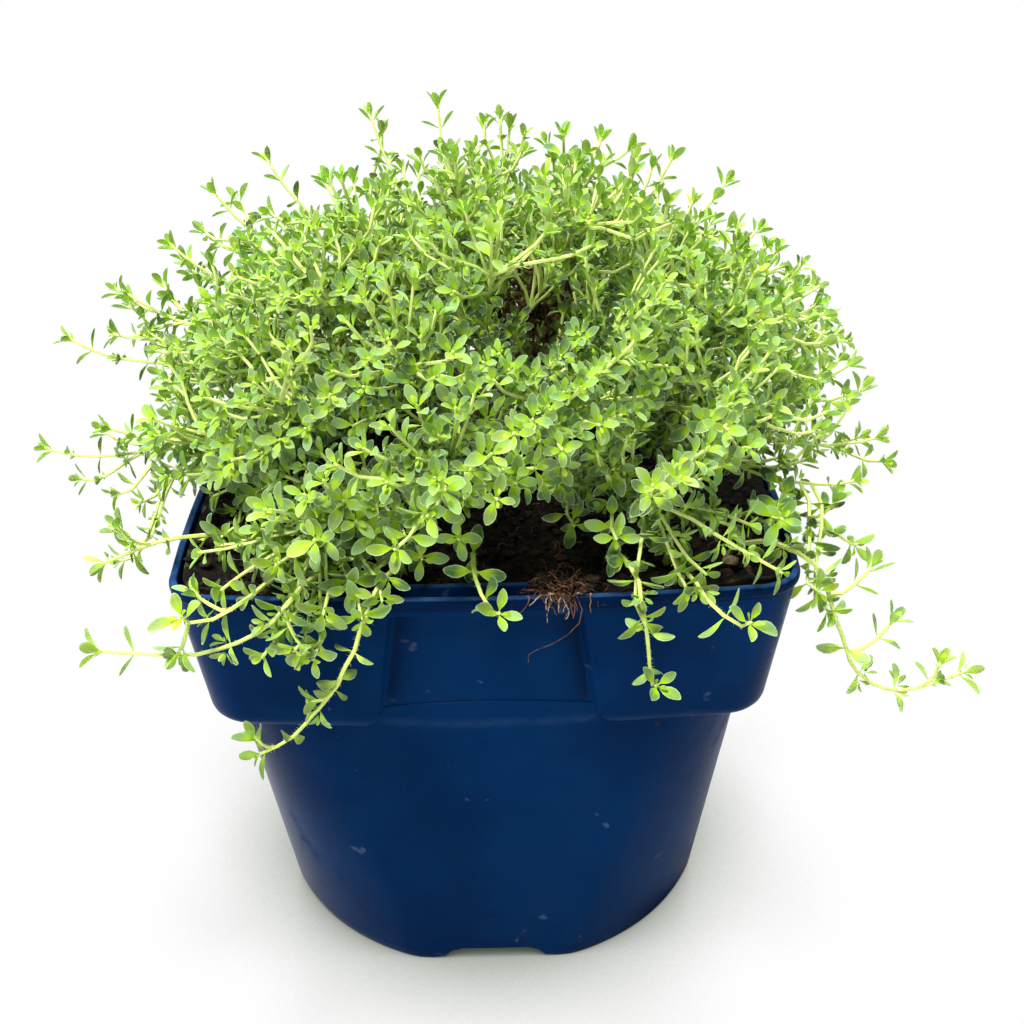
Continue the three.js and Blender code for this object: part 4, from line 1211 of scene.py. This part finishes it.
# ---- Runners ----
# Nine trailing shoots that root in the soil near the rim and hang over it. Their leaves are brighter, and in
# looser pairs than the bush's.
RUNNERS = {
    "left_long": (
        (-20, -35, 81), (-20, -35, 87), (-23, -44, 91), (-28, -55, 92), (-34, -60, 87), (-46, -60, 82),
        (-62, -58, 82),
    ),
    "left_drop": (
        (-11, -38, 81), (-11, -38, 87), (-13, -46, 91), (-17, -56, 91), (-20, -59, 84), (-24, -58, 75),
        (-32, -58, 65), (-38, -59, 62),
    ),
    "left_corner": (
        (-30, -39, 81), (-30, -39, 87), (-33, -48, 90), (-37, -56, 90), (-42, -59, 88), (-47, -60, 88),
    ),
    "left_rim": (
        (-41, -30, 81), (-41, -30, 87), (-47, -34, 90), (-54, -37, 91), (-60, -37, 89), (-66, -36, 86),
    ),
    "middle": ((-2, -38, 81), (-2, -38, 87), (-2, -46, 91), (-1, -56, 91), (2, -61, 88)),
    "right_drop": (
        (21, -38, 81), (21, -38, 87), (22, -46, 91), (24, -55, 92), (25, -58, 87), (26, -58, 80),
        (27, -59, 73),
    ),
    "right_front": (
        (31, -38, 81), (31, -38, 87), (31, -46, 90), (33, -55, 91), (36, -59, 88), (41, -60, 85),
    ),
    "right_long": (
        (42, -37, 81), (42, -37, 87), (48, -43, 91), (55, -46, 88), (59, -48, 78), (64, -46, 67),
        (73, -44, 62), (85, -40, 63),
    ),
    "right_rim": (
        (44, -26, 81), (44, -26, 87), (50, -30, 91), (56, -33, 91), (61, -34, 88), (65, -33, 85),
    ),
}


def through(points, per_span=8):
    """A smooth line through points."""
    points = [np.array(point, dtype=float) for point in points]
    points = [2 * points[0] - points[1]] + points + [2 * points[-1] - points[-2]]
    line = []
    for a, b, c, d in zip(points, points[1:], points[2:], points[3:]):
        for step in range(per_span):
            t = step / per_span
            bend = (2 * a - 5 * b + 4 * c - d) * t**2 + (3 * b - a - 3 * c + d) * t**3
            line.append(0.5 * (2 * b + (c - a) * t + bend))
    return np.array(line + [points[-2]])


TWIGS = {
    "right_long": ((0.66, (7, -1, 7)), (0.9, (3, -1, 6)), (0.5, (7, 1, 5))),
    "left_drop": ((0.94, (-3, -1, 3)), (0.7, (-5, -1, -4))),
    "left_long": ((0.5, (-4, -2, -7)), (0.62, (3, -2, -6))),
    "left_corner": ((0.6, (-6, 1, 3)), (0.8, (-2, -1, -5))),
    "left_rim": ((0.7, (-4, -3, 5)),),
    "right_rim": ((0.6, (4, -3, 5)),),
}
FACING_TIPS = ("middle", "right_drop", "right_front", "left_corner")
runner_green = leaf_finish("runner_green", (0.44, 0.65, 0.02), (0.23, 0.39, 0.145), (0.05, 0.13, 0.035))
runner_stem = stem_finish("runner_stem", (0.56, 0.68, 0.16), (0.42, 0.5, 0.12))
for i, (name, route) in enumerate(RUNNERS.items()):
    runner = Shoots(40 + i)
    faces_out = name in FACING_TIPS
    if faces_out:
        route = (*route, tuple(np.array(route[-1]) + (0.3, -1.3, 1.9)))
    path = through(route)
    leafy = distances(path)[-1] - 9
    runner.shoot(path, 0.5, leafy, gap=7.5, tuft=0.5, size=4.6, hairy=4, closed=0.25 if faces_out else 0.6)
    for share, reach in TWIGS.get(name, ()):
        root = path[int(share * (len(path) - 1))]
        reach = np.array(reach, dtype=float)
        length = np.linalg.norm(reach)
        bow = np.array([0, 0, -0.25 * length])
        side_path = bezier(root, root + reach * 0.3 + bow, root + reach * 0.7 + bow, root + reach)
        runner.shoot(side_path, 0.36, length * 0.8, gap=4.5, size=4.2, hairy=4)
    node = "runner_" + name
    raise_stems(node + "_stem", runner.stems, runner_stem, node)
    raise_leaves(node + "_leaves", runner.leaves, runner_green, node)
